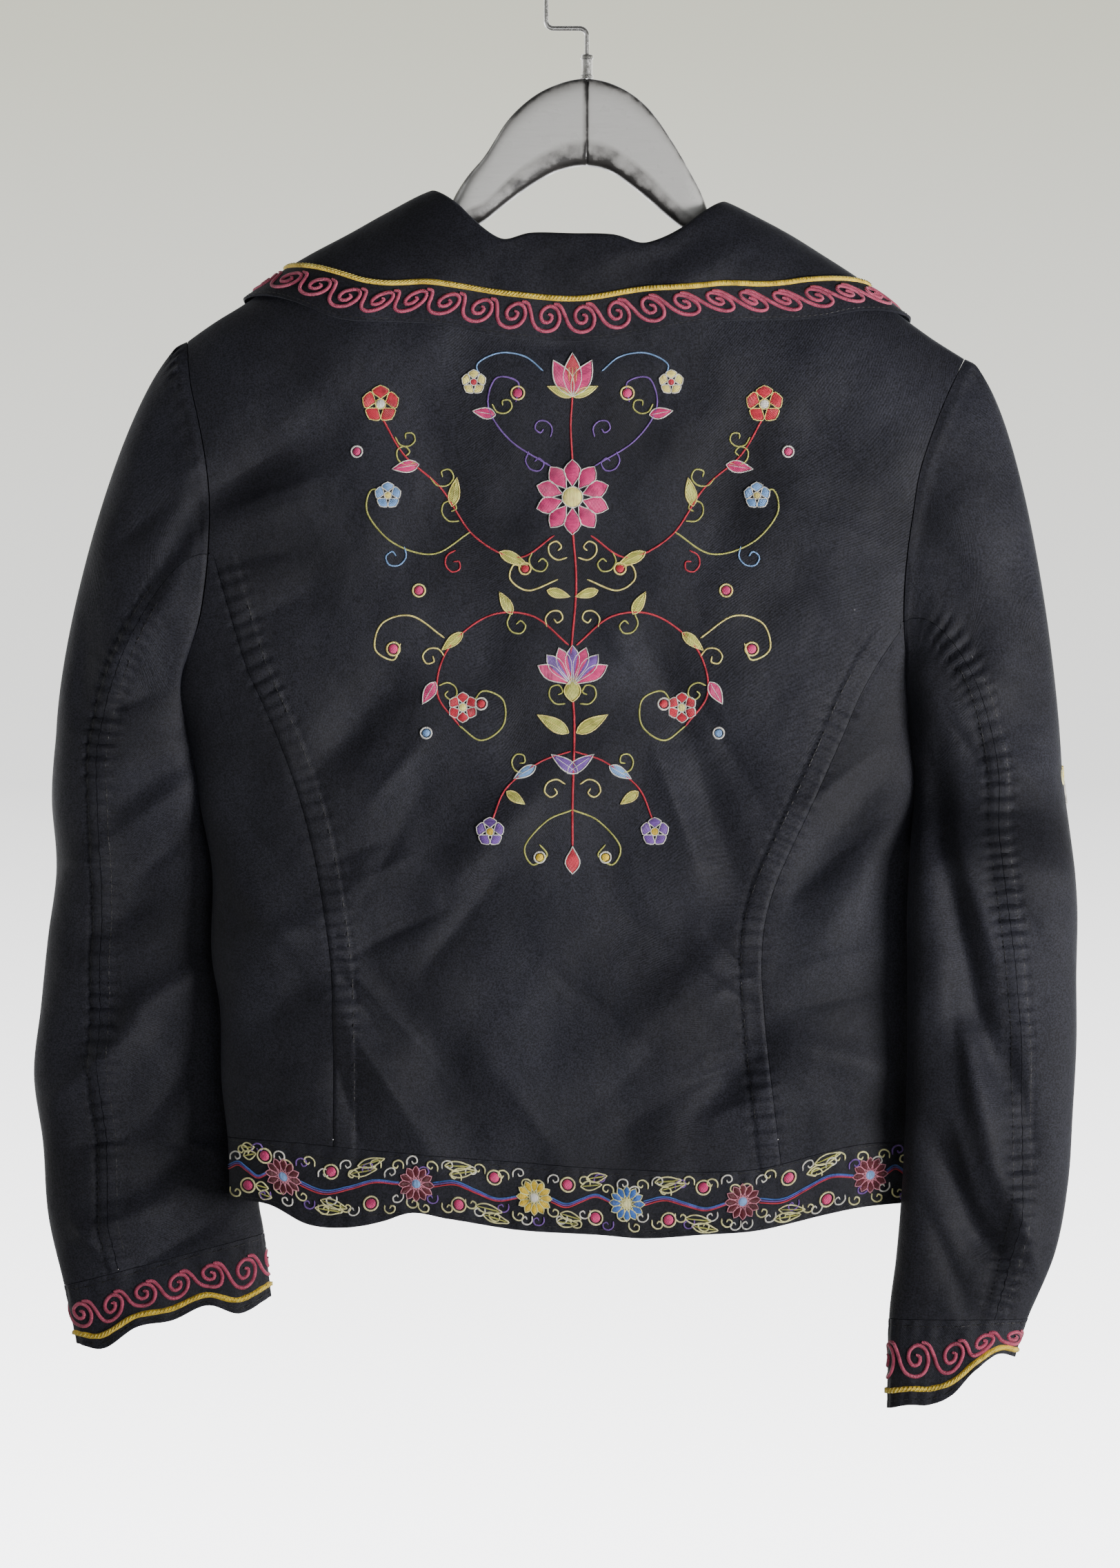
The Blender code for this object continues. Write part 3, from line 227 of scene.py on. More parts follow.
# Collar stations from the back centre to the front end. The drop below the collar's own
# ridge is negative on the back and positive on the front. base is the x where its stand
# meets the back neckline, or the z where it meets the front one.
COLLAR_LIFT = 2.7           # how far the fall stands off the torso
COLLAR_ROLL = 2.7           # outer radius of the fold
COLLAR_BASE_GAP = 0.7       # from the stand to the back neckline
COLLAR_FRONT_GAP = 1.9      # and to the front one, which turns more sharply
COLLAR_STEP = 0.02          # share of a station over which the collar's directions are taken
STAND_FLAT = 12.0           # y under which the stand's inner side turns level
COLLAR_RIDGE = (
    ("x", "z"),
    (-215, -206), (-189, -189.8), (-172, -177.8), (-153, -166.4), (-131.5, -155), (-110, -143),
    (-86, -131), (-50, -126.5), (-8, -126), (35, -130), (77, -137.2), (95, -146),
    (111.7, -155), (130, -166.4), (148, -178), (161, -187.2), (178, -200), (200, -215),
)
COLLAR_LEFT = (
    ("roll_x", "roll_drop", "edge_x", "edge_drop", "base"),
    (-8, -32, -8, -90, -8), (-30, -32, -60, -84, -30), (-49, -34, -103, -66, -50),
    (-70, -15, -150, -33, -72), (-86, 0, -189, 0, -84), (-74, 38, -170, 52, -172),
    (-56, 88, -135, 112, -236), (-36, 168, -92, 198, -316), (-19, 240, -40, 258, -388),
)
COLLAR_RIGHT = (
    ("roll_x", "roll_drop", "edge_x", "edge_drop", "base"),
    (-8, -32, -8, -90, -8), (14, -31, 40, -79, 14), (34, -33, 88, -62, 36),
    (60, -16, 138, -29, 62), (77, 0, 178, 0, 74), (65, 38, 162, 52, -180),
    (47, 88, 122, 112, -242), (24, 162, 78, 192, -318), (4, 226, 26, 244, -384),
)

# Buttons of the front
BUTTON_RADIUS = 9.0
BUTTON_THICKNESS = 3.0
BUTTON_HOLE_RADIUS = 0.75
BUTTON_HOLE_AT = 1.5        # each of the four from the middle, both ways
BUTTON_HEIGHTS = (-450.0, -525.0, -600.0)

# Hanger: a shaped piece of wood in upright slices. Its arms lie just under the shoulders.
HANGER_SEAT = 2.1           # from the shoulder ridge down to the top of an arm
HANGER_LEFT_ARM = (
    ("x", "height", "thickness"),
    (-211, 13, 8), (-203, 25, 13), (-190, 28, 15), (-172, 29, 16.5), (-153, 30, 17),
    (-131.5, 29, 17), (-110, 26, 17), (-95, 21, 16), (-86, 18, 16),
)
HANGER_NECK = (
    ("x", "top", "bottom", "thickness"),
    (-79.5, -145.8, -161.5, 16.5), (-76, -140.5, -159.5, 17.5), (-72, -132.5, -157, 18.5),
    (-66, -123.5, -153.5, 20), (-56.6, -112.5, -148, 20), (-44.1, -93.1, -138, 20),
    (-31.2, -80.6, -128.5, 20), (-16, -72.5, -120.2, 20), (-1, -69.5, -117.4, 20),
    (13, -72, -120.6, 20), (24.7, -77.9, -128.5, 20), (35, -87, -137, 20),
    (47.5, -104.9, -148, 20), (57.8, -122.7, -155, 20), (63, -132.5, -158, 18.5),
    (67, -143, -161, 14.5), (70, -152, -164.5, 12.5),
)
HANGER_RIGHT_ARM = (
    ("x", "height", "thickness"),
    (76, 15, 14), (86, 19, 16), (95, 23, 16.5), (111.7, 28, 17), (130, 29, 17),
    (148, 30, 17), (161, 29, 16.5), (178, 28, 15), (191, 25, 13), (199, 13, 8),
)
NECK_SQUARENESS = 3.0
ARM_SQUARENESS = 1.7
NECK_REACH = (50.0, 75.0)   # the neck's squareness fades out between these widths

# Hook and ferrule
WIRE_RADIUS = 1.4
HOOK_RADIUS = 22.4          # of the wire's centreline
HOOK_JOG_Z = -41.5
HOOK_BEND_RADIUS = 4.0
HOOK_END_DROP = 3.0
FERRULE_TOP = -56.0
FERRULE_RADIUS = 3.6
FERRULE_BORE = 1.8
FERRULE_RIM = 0.7
WOOD_TOP = -69.5


def column(table, name):
    """One named column of a table whose first row holds the names."""
    place = table[0].index(name)
    return np.array([row[place] for row in table[1:]], float)


def smooth(table, along, name):
    """A smooth function through one column of a table, along another column."""
    x = column(table, along)
    y = column(table, name)
    order = np.argsort(x)
    x, y = x[order], y[order]
    slope = np.gradient(y, x)

    def at(q):
        q = np.clip(q, x[0], x[-1])
        i = np.clip(np.searchsorted(x, q, side="right") - 1, 0, len(x) - 2)
        h = x[i + 1] - x[i]
        return hermite(y[i], y[i + 1], slope[i] * h, slope[i + 1] * h, (q - x[i]) / h)

    return at


def hermite(start, end, leave, arrive, t):
    """A cubic from start to end with the tangents leave and arrive."""
    return (start * (2 * t**3 - 3 * t**2 + 1) + end * (3 * t**2 - 2 * t**3)
            + leave * (t**3 - 2 * t**2 + t) + arrive * (t**3 - t**2))


def mix(a, b, t):
    return a + (b - a) * t


def ease(t):
    t = np.clip(t, 0.0, 1.0)
    return t * t * (3 - 2 * t)


edge_at = {"left": smooth(BODY_EDGE, "z", "left"), "right": smooth(BODY_EDGE, "z", "right")}
armhole_at = {"left": smooth(ARMHOLE_LEFT, "z", "x"), "right": smooth(ARMHOLE_RIGHT, "z", "x")}
princess_at = {"left": smooth(PRINCESS_LEFT, "z", "x"), "right": smooth(PRINCESS_RIGHT, "z", "x")}
shoulder_at = smooth(SHOULDER, "x", "z")
neck_back_at = smooth(NECK_BACK, "x", "z")
band_top_at = smooth(BAND_BACK, "x", "top")
band_hem_at = smooth(BAND_BACK, "x", "hem")
collar_ridge_at = smooth(COLLAR_RIDGE, "x", "z")
cuff_wave_at = {side: smooth(CUFF_WAVE, "across", side) for side in SIGN}
sleeve_seam_at = {side: smooth(SLEEVE_SEAM, "row", side) for side in SIGN}


def fold_height(table, kind, x, z):
    """Height of a table's folds of one kind over the plain cloth at (x, z)."""
    height = np.zeros(np.broadcast(x, z).shape)
    for what, x0, z0, x1, z1, width, depth in table[1:]:
        if what != kind:
            continue
        length2 = (x1 - x0) ** 2 + (z1 - z0) ** 2
        along = np.clip(((x - x0) * (x1 - x0) + (z - z0) * (z1 - z0)) / length2, 0, 1)
        away2 = (x - mix(x0, x1, along)) ** 2 + (z - mix(z0, z1, along)) ** 2
        height = height + depth * np.exp(-away2 / width**2) * (1 - 0.4 * (2 * along - 1) ** 2)
    return height


def drop_share(drop):
    """Share of the full depth that is reached this far below the shoulder ridge."""
    left = np.clip(1 - drop / DEPTH_REACH, 0, 1)
    return np.sqrt(1 - left**2)


def middle_and_half(z):
    left, right = edge_at["left"](z), edge_at["right"](z)
    return (left + right) / 2, (right - left) / 2


def plan_angle(x, z):
    """Angle round the torso in plan, 0 at the centre and 90 degrees at its right edge."""
    centre, half = middle_and_half(z)
    return np.arcsin(np.clip((x - centre) / half, -1, 1))


def row_height(x, row, face):
    """Height of a row: 0 is the shoulder line, 1 the underarm, 2 the top of the hem band."""
    across = (x - TIP["left"][0]) / (TIP["right"][0] - TIP["left"][0])
    tip = mix(TIP["left"][1], TIP["right"][1], across)
    under = mix(UNDERARM["left"][1], UNDERARM["right"][1], across)
    turn = np.cos(np.pi * np.clip(row, 0, 1))
    in_neck = (x > NECK_POINT["left"][0]) & (x < NECK_POINT["right"][0]) & (face == "back")
    top = np.where(in_neck, neck_back_at(x), shoulder_at(x))
    upper = mix(tip, under, (1 - turn) / 2) + (top - tip) * (1 + turn) / 2
    band = band_top_at(x) if face == "back" else band_line(x, "top")
    return np.where(row < 1, upper, mix(under, band, row - 1))


def band_line(x, edge):
    """Edges of the front hem band, which meet those of the back at the sides."""
    level = FRONT_BAND_TOP if edge == "top" else FRONT_HEM
    back = band_top_at(x) if edge == "top" else band_hem_at(x)
    to_side = ease((np.abs(x - CENTRE_X) - FRONT_LEVEL[0]) / FRONT_LEVEL[1])
    return mix(level, back, to_side)


def torso(angle, row, face):
    """Point of the torso at a plan angle and a row."""
    x = CENTRE_X + TIP["right"][0] * np.sin(angle) + 0 * row
    for _ in range(SOLVE_STEPS):
        z = row_height(x, row, face)
        centre, half = middle_and_half(z)
        x = centre + half * np.sin(angle)
    return np.stack([x, torso_y(angle, x, z, face), z], axis=-1)


def angle_on_line(line, row, face, start):
    """Plan angle where a row crosses a line that gives x at each height."""
    x = start + 0 * row
    for _ in range(SOLVE_STEPS):
        z = row_height(x, row, face)
        x = line(z)
    return plan_angle(x, z)


def armhole_angle(side, row, face):
    """Plan angle of the outer edge of the torso: the armhole, then the side seam."""
    upper = angle_on_line(armhole_at[side], np.clip(row, 0, 1), face, TIP[side][0])
    return np.where(row < 1, upper, SIGN[side] * np.pi / 2)


def back_edge_angle(side, row):
    """Outer edge of the middle back: the armhole, then the princess seam."""
    seam_row = SEAM_ROW[side] / ARMHOLE_ROWS
    seam = angle_on_line(princess_at[side], row, "back", TIP[side][0])
    return np.where(row < seam_row - 1e-6, armhole_angle(side, row, "back"), seam)


def neckline_x(side, row):
    """x of the front neckline, and of the front edge below it."""
    start = NECK_POINT[side][0]
    end = CENTRE_X + SIGN[side]
    lap = CENTRE_X - SIGN[side] * LAP
    slope = (1 - np.cos(np.pi * np.clip(row, 0, 1))) / 2
    below = mix(end, lap, ease((row - CLOSE_ROW) * LAP_SPREAD))
    return np.where(row < CLOSE_ROW, mix(start, end, slope), below)


def neckline_angle(side, row):
    x = neckline_x(side, row)
    return plan_angle(x, row_height(x, row, "front"))


def lapped(point, side):
    """The front that lies below steps back where the other one laps over it."""
    near = 1 - ease((CENTRE_X - point[..., 0] - LAP_BLEND[0]) / LAP_BLEND[1])
    step = LAP_STEP * near if side == "left" else 0 * near
    return point - np.stack([0 * step, step, 0 * step], axis=-1)


def armhole_point(side, turn):
    """Point of the armhole; turn is 0 at the shoulder tip, 180 at the underarm, 360 at the tip."""
    turn = np.asarray(turn, float)
    row = np.where(turn <= 180, turn, 360 - turn) / 180
    back = torso(armhole_angle(side, row, "back"), row, "back")
    front = torso(armhole_angle(side, row, "front"), row, "front")
    return np.where((turn <= 180)[..., None], back, front)


def sleeve_ring(side, turn, ring):
    """Point of the sleeve below the cap; ring counts the rows of its table from 0."""
    table = SLEEVE_LEFT if side == "left" else SLEEVE_RIGHT
    numbered = (("ring",) + table[0],) + tuple((i,) + row for i, row in enumerate(table[1:]))
    size = {name: smooth(numbered, "ring", name)(ring) for name in table[0]}
    phi = np.radians(turn)
    across = (1 - np.cos(phi)) / 2
    depth = size["half_depth"] * np.sin(phi) * (1 + SLEEVE_FULLNESS * np.cos(phi) ** 2)
    x = mix(size["x_out"], size["x_in"], across)
    z = mix(size["z_out"], size["z_in"], across)
    cuff = np.clip(ring - CUFF_RING, 0, 1)
    z = z + cuff_wave_at[side](across) * cuff
    return np.stack([x, size["y"] - depth, z], axis=-1)


def collar_tau(drop):
    """Regular measure of a signed drop below the collar's ridge."""
    far = np.abs(drop) / DEPTH_REACH
    near = np.arccos(np.clip(1 - far, 0, 1))
    return np.sign(drop) * np.where(far < 1, near, np.pi / 2 + far - 1)


def collar_drop(tau):
    far = np.abs(tau)
    return DEPTH_REACH * np.where(far < np.pi / 2, 1 - np.cos(far), 1 + far - np.pi / 2)


def collar_fall_point(x, tau):
    """Outer face of the collar's fall."""
    z = collar_ridge_at(x) - collar_drop(tau)
    angle = plan_angle(x, z)
    around = np.cos(angle) * (1 + SIDE_FULLNESS * np.sin(angle) ** 2)
    depth = np.where(tau < 0, BACK_DEPTH, FRONT_DEPTH)
    y = (depth * around + COLLAR_LIFT) * np.sin(np.clip(tau, -np.pi / 2, np.pi / 2))
    return np.stack([x, y, z], axis=-1)


def collar_stations():
    """The collar's tables as one list, from its left front end to its right one."""
    rows = []
    for side, table in (("left", COLLAR_LEFT), ("right", COLLAR_RIGHT)):
        for i, row in enumerate(table[1:]):
            if side == "right" and i == 0:
                continue
            roll_x, roll_drop, edge_x, edge_drop, _ = row
            u = SIGN[side] * i
            rows.append((u, roll_x, float(collar_tau(roll_drop)), edge_x, float(collar_tau(edge_drop))))
    return (("u", "roll_x", "roll_tau", "edge_x", "edge_tau"),) + tuple(sorted(rows))


STATIONS = collar_stations()
station_at = {name: smooth(STATIONS, "u", name) for name in STATIONS[0][1:]}


def collar_base_point(u):
    """Where the stand's neck side ends, just clear of the torso's neckline."""
    table = {"left": COLLAR_LEFT, "right": COLLAR_RIGHT}
    points = []
    for one in np.atleast_1d(u):
        side = "left" if one < 0 else "right"
        values = column(table[side], "base")
        station = abs(one)
        if station <= 4:
            x = np.interp(station, range(5), values[:5])
            near = ease(station - 3)
            gap = np.array([-SIGN[side] * COLLAR_BASE_GAP * 2 * near, 0, COLLAR_BASE_GAP])
            angle, row, face = plan_angle(x, neck_back_at(x)), 0.0, "back"
        else:
            heights = np.concatenate([[NECK_POINT[side][1]], values[5:]])
            z = np.interp(station, [4, 5, 6, 7, 8], heights)
            if station < 5:
                z = mix(heights[0], heights[1], (station - 4) ** 2)
            row = neckline_row(side, z)
            gap = np.array([-SIGN[side] * COLLAR_FRONT_GAP, 0, COLLAR_BASE_GAP / 2])
            angle, face = float(neckline_angle(side, row)), "front"
        outer = torso(np.array(angle), np.array(row), face)
        level = min(abs(outer[1]) / STAND_FLAT, 1)
        inward = np.array([0, WALL if face == "back" else -WALL, 0]) * level
        points.append(outer + inward + gap)
    return np.array(points)


def neckline_row(side, z):
    """Row at which the front neckline reaches a height."""
    rows = np.linspace(0, 1, 201)
    heights = row_height(neckline_x(side, rows), rows, "front")
    return float(np.interp(-z, -heights, rows))


def collar(u, v):
    """Outer face of the folded collar: v is 0 at the stand's base, 1 to 2 the fold, 3 the edge."""
    roll_x, roll_tau = station_at["roll_x"](u), station_at["roll_tau"](u)
    edge_x, edge_tau = station_at["edge_x"](u), station_at["edge_tau"](u)
    step = COLLAR_STEP
    roll = collar_fall_point(roll_x, roll_tau)
    inside = collar_fall_point(mix(roll_x, edge_x, step), mix(roll_tau, edge_tau, step))
    ahead = collar_fall_point(station_at["roll_x"](u + step), station_at["roll_tau"](u + step))
    behind = collar_fall_point(station_at["roll_x"](u - step), station_at["roll_tau"](u - step))
    along = unit(ahead - behind)
    fall = unit(inside - roll)
    out = unit(np.cross(fall, along))
    fall = unit(np.cross(along, out))
    centre = roll - out * COLLAR_ROLL
    base = collar_base_point(u)
    if v >= 2:
        share = v - 2
        return collar_fall_point(mix(roll_x, edge_x, share), mix(roll_tau, edge_tau, share))
    if v >= 1:
        turn = np.pi * (2 - v)
        return centre + COLLAR_ROLL * (out * np.cos(turn) - fall * np.sin(turn))
    return mix(base, centre - out * COLLAR_ROLL, v)


def unit(vectors):
    return vectors / np.linalg.norm(vectors, axis=-1, keepdims=True)


# Finer folds of the cloth, sewn seams and the grids of the shells
CREASES = (
    ("side", "x0", "z0", "x1", "z1", "width", "depth"),
    ("back", -132, -553, -78, -526, 4, -1.3), ("back", -84, -528, -30, -496, 8, -0.8),
    ("back", -132, -557, -96, -596, 4, 1.3), ("back", -98, -592, -56, -646, 8, 0.8),
    ("back", 92, -580, 54, -556, 4, -1.3), ("back", 58, -560, 10, -520, 9, -0.8),
    ("back", 92, -608, 56, -622, 3.5, -1.2), ("back", 60, -622, 14, -650, 8, -0.8),
    ("back", -88, -456, -127, -530, 7, -1.0), ("back", -139, -575, -112, -583, 5, 1.0),
    ("back", -204, -296, -150, -262, 5, -1.6), ("back", -204, -312, -146, -290, 5, 1.2),
    ("back", -200, -336, -160, -330, 5, -1.4), ("back", -196, -372, -150, -352, 7, -1.4),
    ("back", -120, -470, -86, -430, 6, 1.4), ("back", -140, -500, -110, -488, 5, -1.2),
    ("back", -138, -520, -98, -498, 5, 1.2), ("back", -136, -560, -112, -598, 5, -1.4),
    ("back", -134, -584, -96, -640, 5, 1.3), ("back", -138, -610, -124, -654, 5, -1.2),
    ("back", -90, -560, -52, -512, 7, -1.5), ("back", 10, -372, 40, -410, 7, 1.5),
    ("back", 34, -430, 60, -500, 6, 1.6), ("back", 60, -410, 96, -470, 8, -1.6),
    ("back", 66, -540, 92, -566, 6, -1.6), ("back", 58, -580, 96, -560, 6, 1.4),
    ("back", 60, -604, 100, -592, 6, -1.4), ("back", 70, -640, 100, -626, 5, 1.2),
    ("back", -20, -560, 30, -600, 12, -1.5), ("back", -60, -600, -20, -655, 10, 1.4),
    ("back", 0, -640, 40, -600, 9, -1.2), ("back", 120, -470, 160, -440, 5, 1.5),
    ("back", 112, -520, 158, -478, 6, -1.6), ("back", 112, -560, 172, -545, 6, 1.5),
    ("back", 112, -580, 168, -570, 5, -1.4), ("back", 118, -628, 176, -640, 6, -1.3),
    ("back", -196, -470, -168, -500, 6, -1.6), ("back", -200, -520, -160, -556, 5, -1.5),
    ("back", -198, -560, -158, -578, 5, 1.4), ("back", -196, -610, -150, -622, 6, 1.3),
    ("back", -194, -640, -152, -632, 5, -1.2), ("back", 160, -300, 120, -260, 9, -1.6),
    ("back", 168, -330, 124, -312, 8, 1.3), ("back", 170, -400, 130, -372, 8, -1.4),
    ("back", -60, -215, 40, -222, 9, -1.0), ("back", -150, -232, -110, -262, 9, 1.3),
    ("front", 150, -330, 80, -400, 7, 1.6), ("front", -160, -330, -90, -400, 7, 1.6),
    ("front", 150, -500, 60, -560, 7, 1.6), ("front", -170, -500, -90, -560, 7, 1.6),
    ("front", 160, -600, 90, -630, 7, -1.5), ("front", -170, -590, -90, -640, 7, -1.5),
    ("front", 60, -450, 20, -520, 9, -1.3), ("front", -70, -450, -20, -520, 9, -1.3),
)
SLEEVE_CREASES = (
    ("sleeve", "x0", "z0", "x1", "z1", "width", "depth"),
    ("left", -226, -300, -262, -330, 7, -1.5), ("left", -224, -350, -262, -392, 7, 1.5),
    ("left", -232, -404, -276, -424, 6, -1.6), ("left", -225, -460, -275, -500, 6, 1.6),
    ("left", -214, -480, -250, -512, 5, -1.4), ("left", -262, -505, -292, -500, 6, 1.5),
    ("left", -206, -600, -240, -640, 6, -1.7), ("left", -256, -600, -296, -632, 6, 1.6),
    ("left", -200, -662, -236, -654, 5, 1.5), ("left", -250, -650, -290, -660, 6, -1.5),
    ("left", -205, -700, -250, -726, 6, -1.6), ("left", -262, -724, -284, -700, 5, 1.4),
    ("right", 190, -330, 232, -362, 8, -1.4), ("right", 184, -388, 222, -404, 5, 1.8),
    ("right", 196, -412, 214, -446, 5, -1.8), ("right", 222, -430, 252, -470, 8, 1.4),
    ("right", 205, -500, 224, -560, 6, 1.7), ("right", 232, -520, 258, -560, 8, -1.4),
    ("right", 196, -560, 206, -640, 6, -1.6), ("right", 228, -600, 246, -660, 7, -1.6),
    ("right", 200, -640, 214, -690, 5, 1.6), ("right", 232, -690, 248, -730, 6, 1.5),
    ("right", 184, -690, 206, -740, 6, -1.5), ("right", 196, -740, 216, -780, 6, 1.5),
)
COLLAR_FOLDS = (
    ("part", "x0", "z0", "x1", "z1", "width", "depth"),
    ("fall", -88, -136, -48, -186, 11, -1.4), ("fall", -104, -150, -66, -196, 9, 1.4),
    ("fall", -70, -150, -34, -190, 9, 1.2), ("fall", 74, -144, 18, -182, 12, -1.4),
    ("fall", 90, -160, 40, -190, 9, 1.4), ("fall", 52, -142, 10, -172, 8, 1.1),
    ("fall", -150, -176, -120, -200, 10, 1.0), ("fall", 130, -180, 150, -206, 10, 1.0),
    ("fall", -20, -180, 10, -206, 12, -0.8),
)
UNEVEN = ((0.071, 0.043, 0.3, 0.55), (-0.052, 0.083, 1.9, 0.5), (0.118, -0.036, 4.1, 0.35),
          (0.034, 0.131, 2.6, 0.35), (-0.145, 0.102, 5.2, 0.22), (0.21, 0.06, 0.9, 0.15))
CREASE_BOOST = 2.2
CREASE_ROUND = 0.2              # less gives a sharper crest
FOLD_CREST = 0.28               # share of the large folds that is drawn again as a crest
BODY_BAND = (0.0, 12.0)         # a felled seam of the back: its band lies towards the centre
SLEEVE_BAND = (-5.8, 5.8)       # one of a sleeve: its band lies over the seam
BAND_RISE = 0.9
BAND_SOFT = 1.5
PUCKER_PITCH = 7.6
PUCKER_DEPTH = {"body": 0.85, "sleeve": 1.0}
PUCKER_FADE = 3.0               # how far the puckers run on beside the band
PUCKER_SHIFTS = ((1.6, 19.0), (0.9, 7.3))   # how the puckers drift along a seam: size, reach
SEAM_DENT = 0.8                 # beside a felled seam
SEAM_DENT_REACH = 1.3
FAR_DENT_SHARE = 0.6            # of that dent on the far side of the band
HEM_STITCH = 4.0                # from an edge to its topstitching
HEM_RIPPLE = 0.35
HEM_RIPPLE_REACH = 6.5
HEM_DENT = 0.25
HEM_DENT_REACH = 1.6
FRONT_SHARE = 0.6               # of a sleeve's folds on its hidden side
CAP_LENGTH = 200.0
PUCKER_TURN = 7.3               # degrees of the armhole for one gather of the cap
HEAD_DEPTH = 1.1                # of the gathers below the cap's seam
HEAD_RISE = 1.2                 # of the cap over the seam's allowance
CUFF_HEIGHT = 37.0
# Bulge of a sleeve that closes the gap to the side of the body and enters its shell a little:
# spread in turn and in height, and reach in x
UNDERARM_FOLD = {"left": (55.0, 34.0, 8.5), "right": (55.0, 34.0, -8.0)}
UNDERARM_FOLD_HEIGHT = -427.0
RING_BLEND = 1.6                # rings over which a sleeve eases into its table's depth
SIDEWAYS = 0.5                  # of a sleeve's folds, away from its middle
CLOTH_GRID = {"back_middle": (150, 310), "back_side": (36, 200), "front": (70, 120),
              "sleeve_upper": (80, 280), "sleeve_under": (50, 260)}
GRID_CROWDING = 0.45            # how far columns crowd towards the seams


def uneven(x, z):
    """A soft unevenness of hung cloth, without any direction."""
    height = 0 * x + 0 * z
    for along_x, along_z, start, size in UNEVEN:
        height = height + size * np.sin(along_x * x + along_z * z + start)
    return height


def crease_height(table, kind, x, z):
    """Height of finer creases, which have a crest and long soft sides."""
    height = 0 * x + 0 * z
    for what, x0, z0, x1, z1, width, depth in table[1:]:
        if what != kind:
            continue
        length2 = (x1 - x0) ** 2 + (z1 - z0) ** 2
        along = np.clip(((x - x0) * (x1 - x0) + (z - z0) * (z1 - z0)) / length2, 0, 1)
        away = np.sqrt((x - mix(x0, x1, along)) ** 2 + (z - mix(z0, z1, along)) ** 2) / width
        crest = np.exp(CREASE_ROUND - np.sqrt(away**2 + CREASE_ROUND**2))
        height = height + CREASE_BOOST * depth * crest * (1 - 0.5 * (2 * along - 1) ** 2)
    return height


def line_place(line, x, z):
    """Signed distance from a drawn line, positive on its +X side, and the place along it."""
    x, z = np.broadcast_arrays(x, z)
    best = np.full(x.shape, 1e9)
    distance, along = np.zeros(x.shape), np.zeros(x.shape)
    run = 0.0
    for (x0, z0), (x1, z1) in zip(line[:-1], line[1:]):
        length = math.hypot(x1 - x0, z1 - z0)
        share = np.clip(((x - x0) * (x1 - x0) + (z - z0) * (z1 - z0)) / length**2, 0, 1)
        off_x, off_z = x - mix(x0, x1, share), z - mix(z0, z1, share)
        away = np.hypot(off_x, off_z)
        aside = off_x * (z0 - z1) + off_z * (x1 - x0)
        nearer = away < best
        best = np.where(nearer, away, best)
        distance = np.where(nearer, away * np.where(aside < 0, -1.0, 1.0), distance)
        along = np.where(nearer, run + share * length, along)
        run += length
    return distance, along


def fine_line(table):
    """A table of (z, x) as a smooth line of close (x, z) points."""
    z = np.linspace(table[1][0], table[-1][0], 60)
    return list(zip(smooth(table, "z", "x")(z), z))


def seam_relief(place, distance, along, start):
    """A felled seam: a raised band that its sewing has drawn into puckers."""
    low, high = BODY_BAND if place == "body" else SLEEVE_BAND
    inside = ease((distance - low + BAND_SOFT) / (2 * BAND_SOFT))
    inside = inside * ease((high - distance + BAND_SOFT) / (2 * BAND_SOFT))
    outside = np.maximum(np.maximum(low - distance, distance - high), 0)
    phase = 2 * np.pi * along / PUCKER_PITCH
    for shift, reach in PUCKER_SHIFTS:
        phase = phase + shift * np.sin(along / reach + start)
    phase = phase + 0.06 * distance * np.sin(along / 41 + 3 * start)
    swing = 0.8 + 0.3 * np.sin(along / 29 + 2 * start) + 0.2 * np.sin(along / 11 + start)
    size = PUCKER_DEPTH[place] * swing
    ridge = np.sin(phase) + 0.25 * np.sin(2 * phase + 1)
    pucker = size * ridge * np.exp(-((outside / PUCKER_FADE) ** 2))
    dent = np.exp(-(((distance - low) / SEAM_DENT_REACH) ** 2))
    dent = dent + FAR_DENT_SHARE * np.exp(-(((distance - high) / SEAM_DENT_REACH) ** 2))
    return BAND_RISE * inside + pucker - SEAM_DENT * dent


def edge_relief(distance, along, start):
    """The ripple that topstitching leaves along an edge."""
    phase = 2 * np.pi * along / (PUCKER_PITCH * 1.25) + 1.2 * np.sin(along / 37 + start)
    near = np.exp(-(((distance - HEM_STITCH) / HEM_RIPPLE_REACH) ** 2))
    dent = np.exp(-(((distance - HEM_STITCH) / HEM_DENT_REACH) ** 2))
    return HEM_RIPPLE * np.sin(phase) * near - HEM_DENT * dent


SEAM_LINES = {"left": fine_line(PRINCESS_LEFT), "right": fine_line(PRINCESS_RIGHT)}


def torso_detail(x, z, face):
    """Creases, seams and unevenness of the torso, outwards."""
    height = crease_height(CREASES, face, x, z) + uneven(x, z)
    height = height + FOLD_CREST * crease_height(BODY_FOLDS, face, x, z)
    if face == "back":
        for side, line in SEAM_LINES.items():
            distance, along = line_place(line, x, z)
            relief = seam_relief("body", -SIGN[side] * distance, along, 1 + SIGN[side])
            height = height + relief * ease(along / 14)
    return height


def torso_y(angle, x, z, face):
    """y of the torso with all its folds, at a plan angle, a width and a height."""
    depth = BACK_DEPTH if face == "back" else FRONT_DEPTH
    around = np.cos(angle) * (1 + SIDE_FULLNESS * np.sin(angle) ** 2)
    drop = shoulder_at(x) - z
    reach = depth * around * drop_share(drop)
    swell = fold_height(BODY_FOLDS, face, x, z) + torso_detail(x, z, face)
    swell = swell * np.cos(angle) * drop_share(drop * 2)
    return (reach + swell) * (-1 if face == "back" else 1)


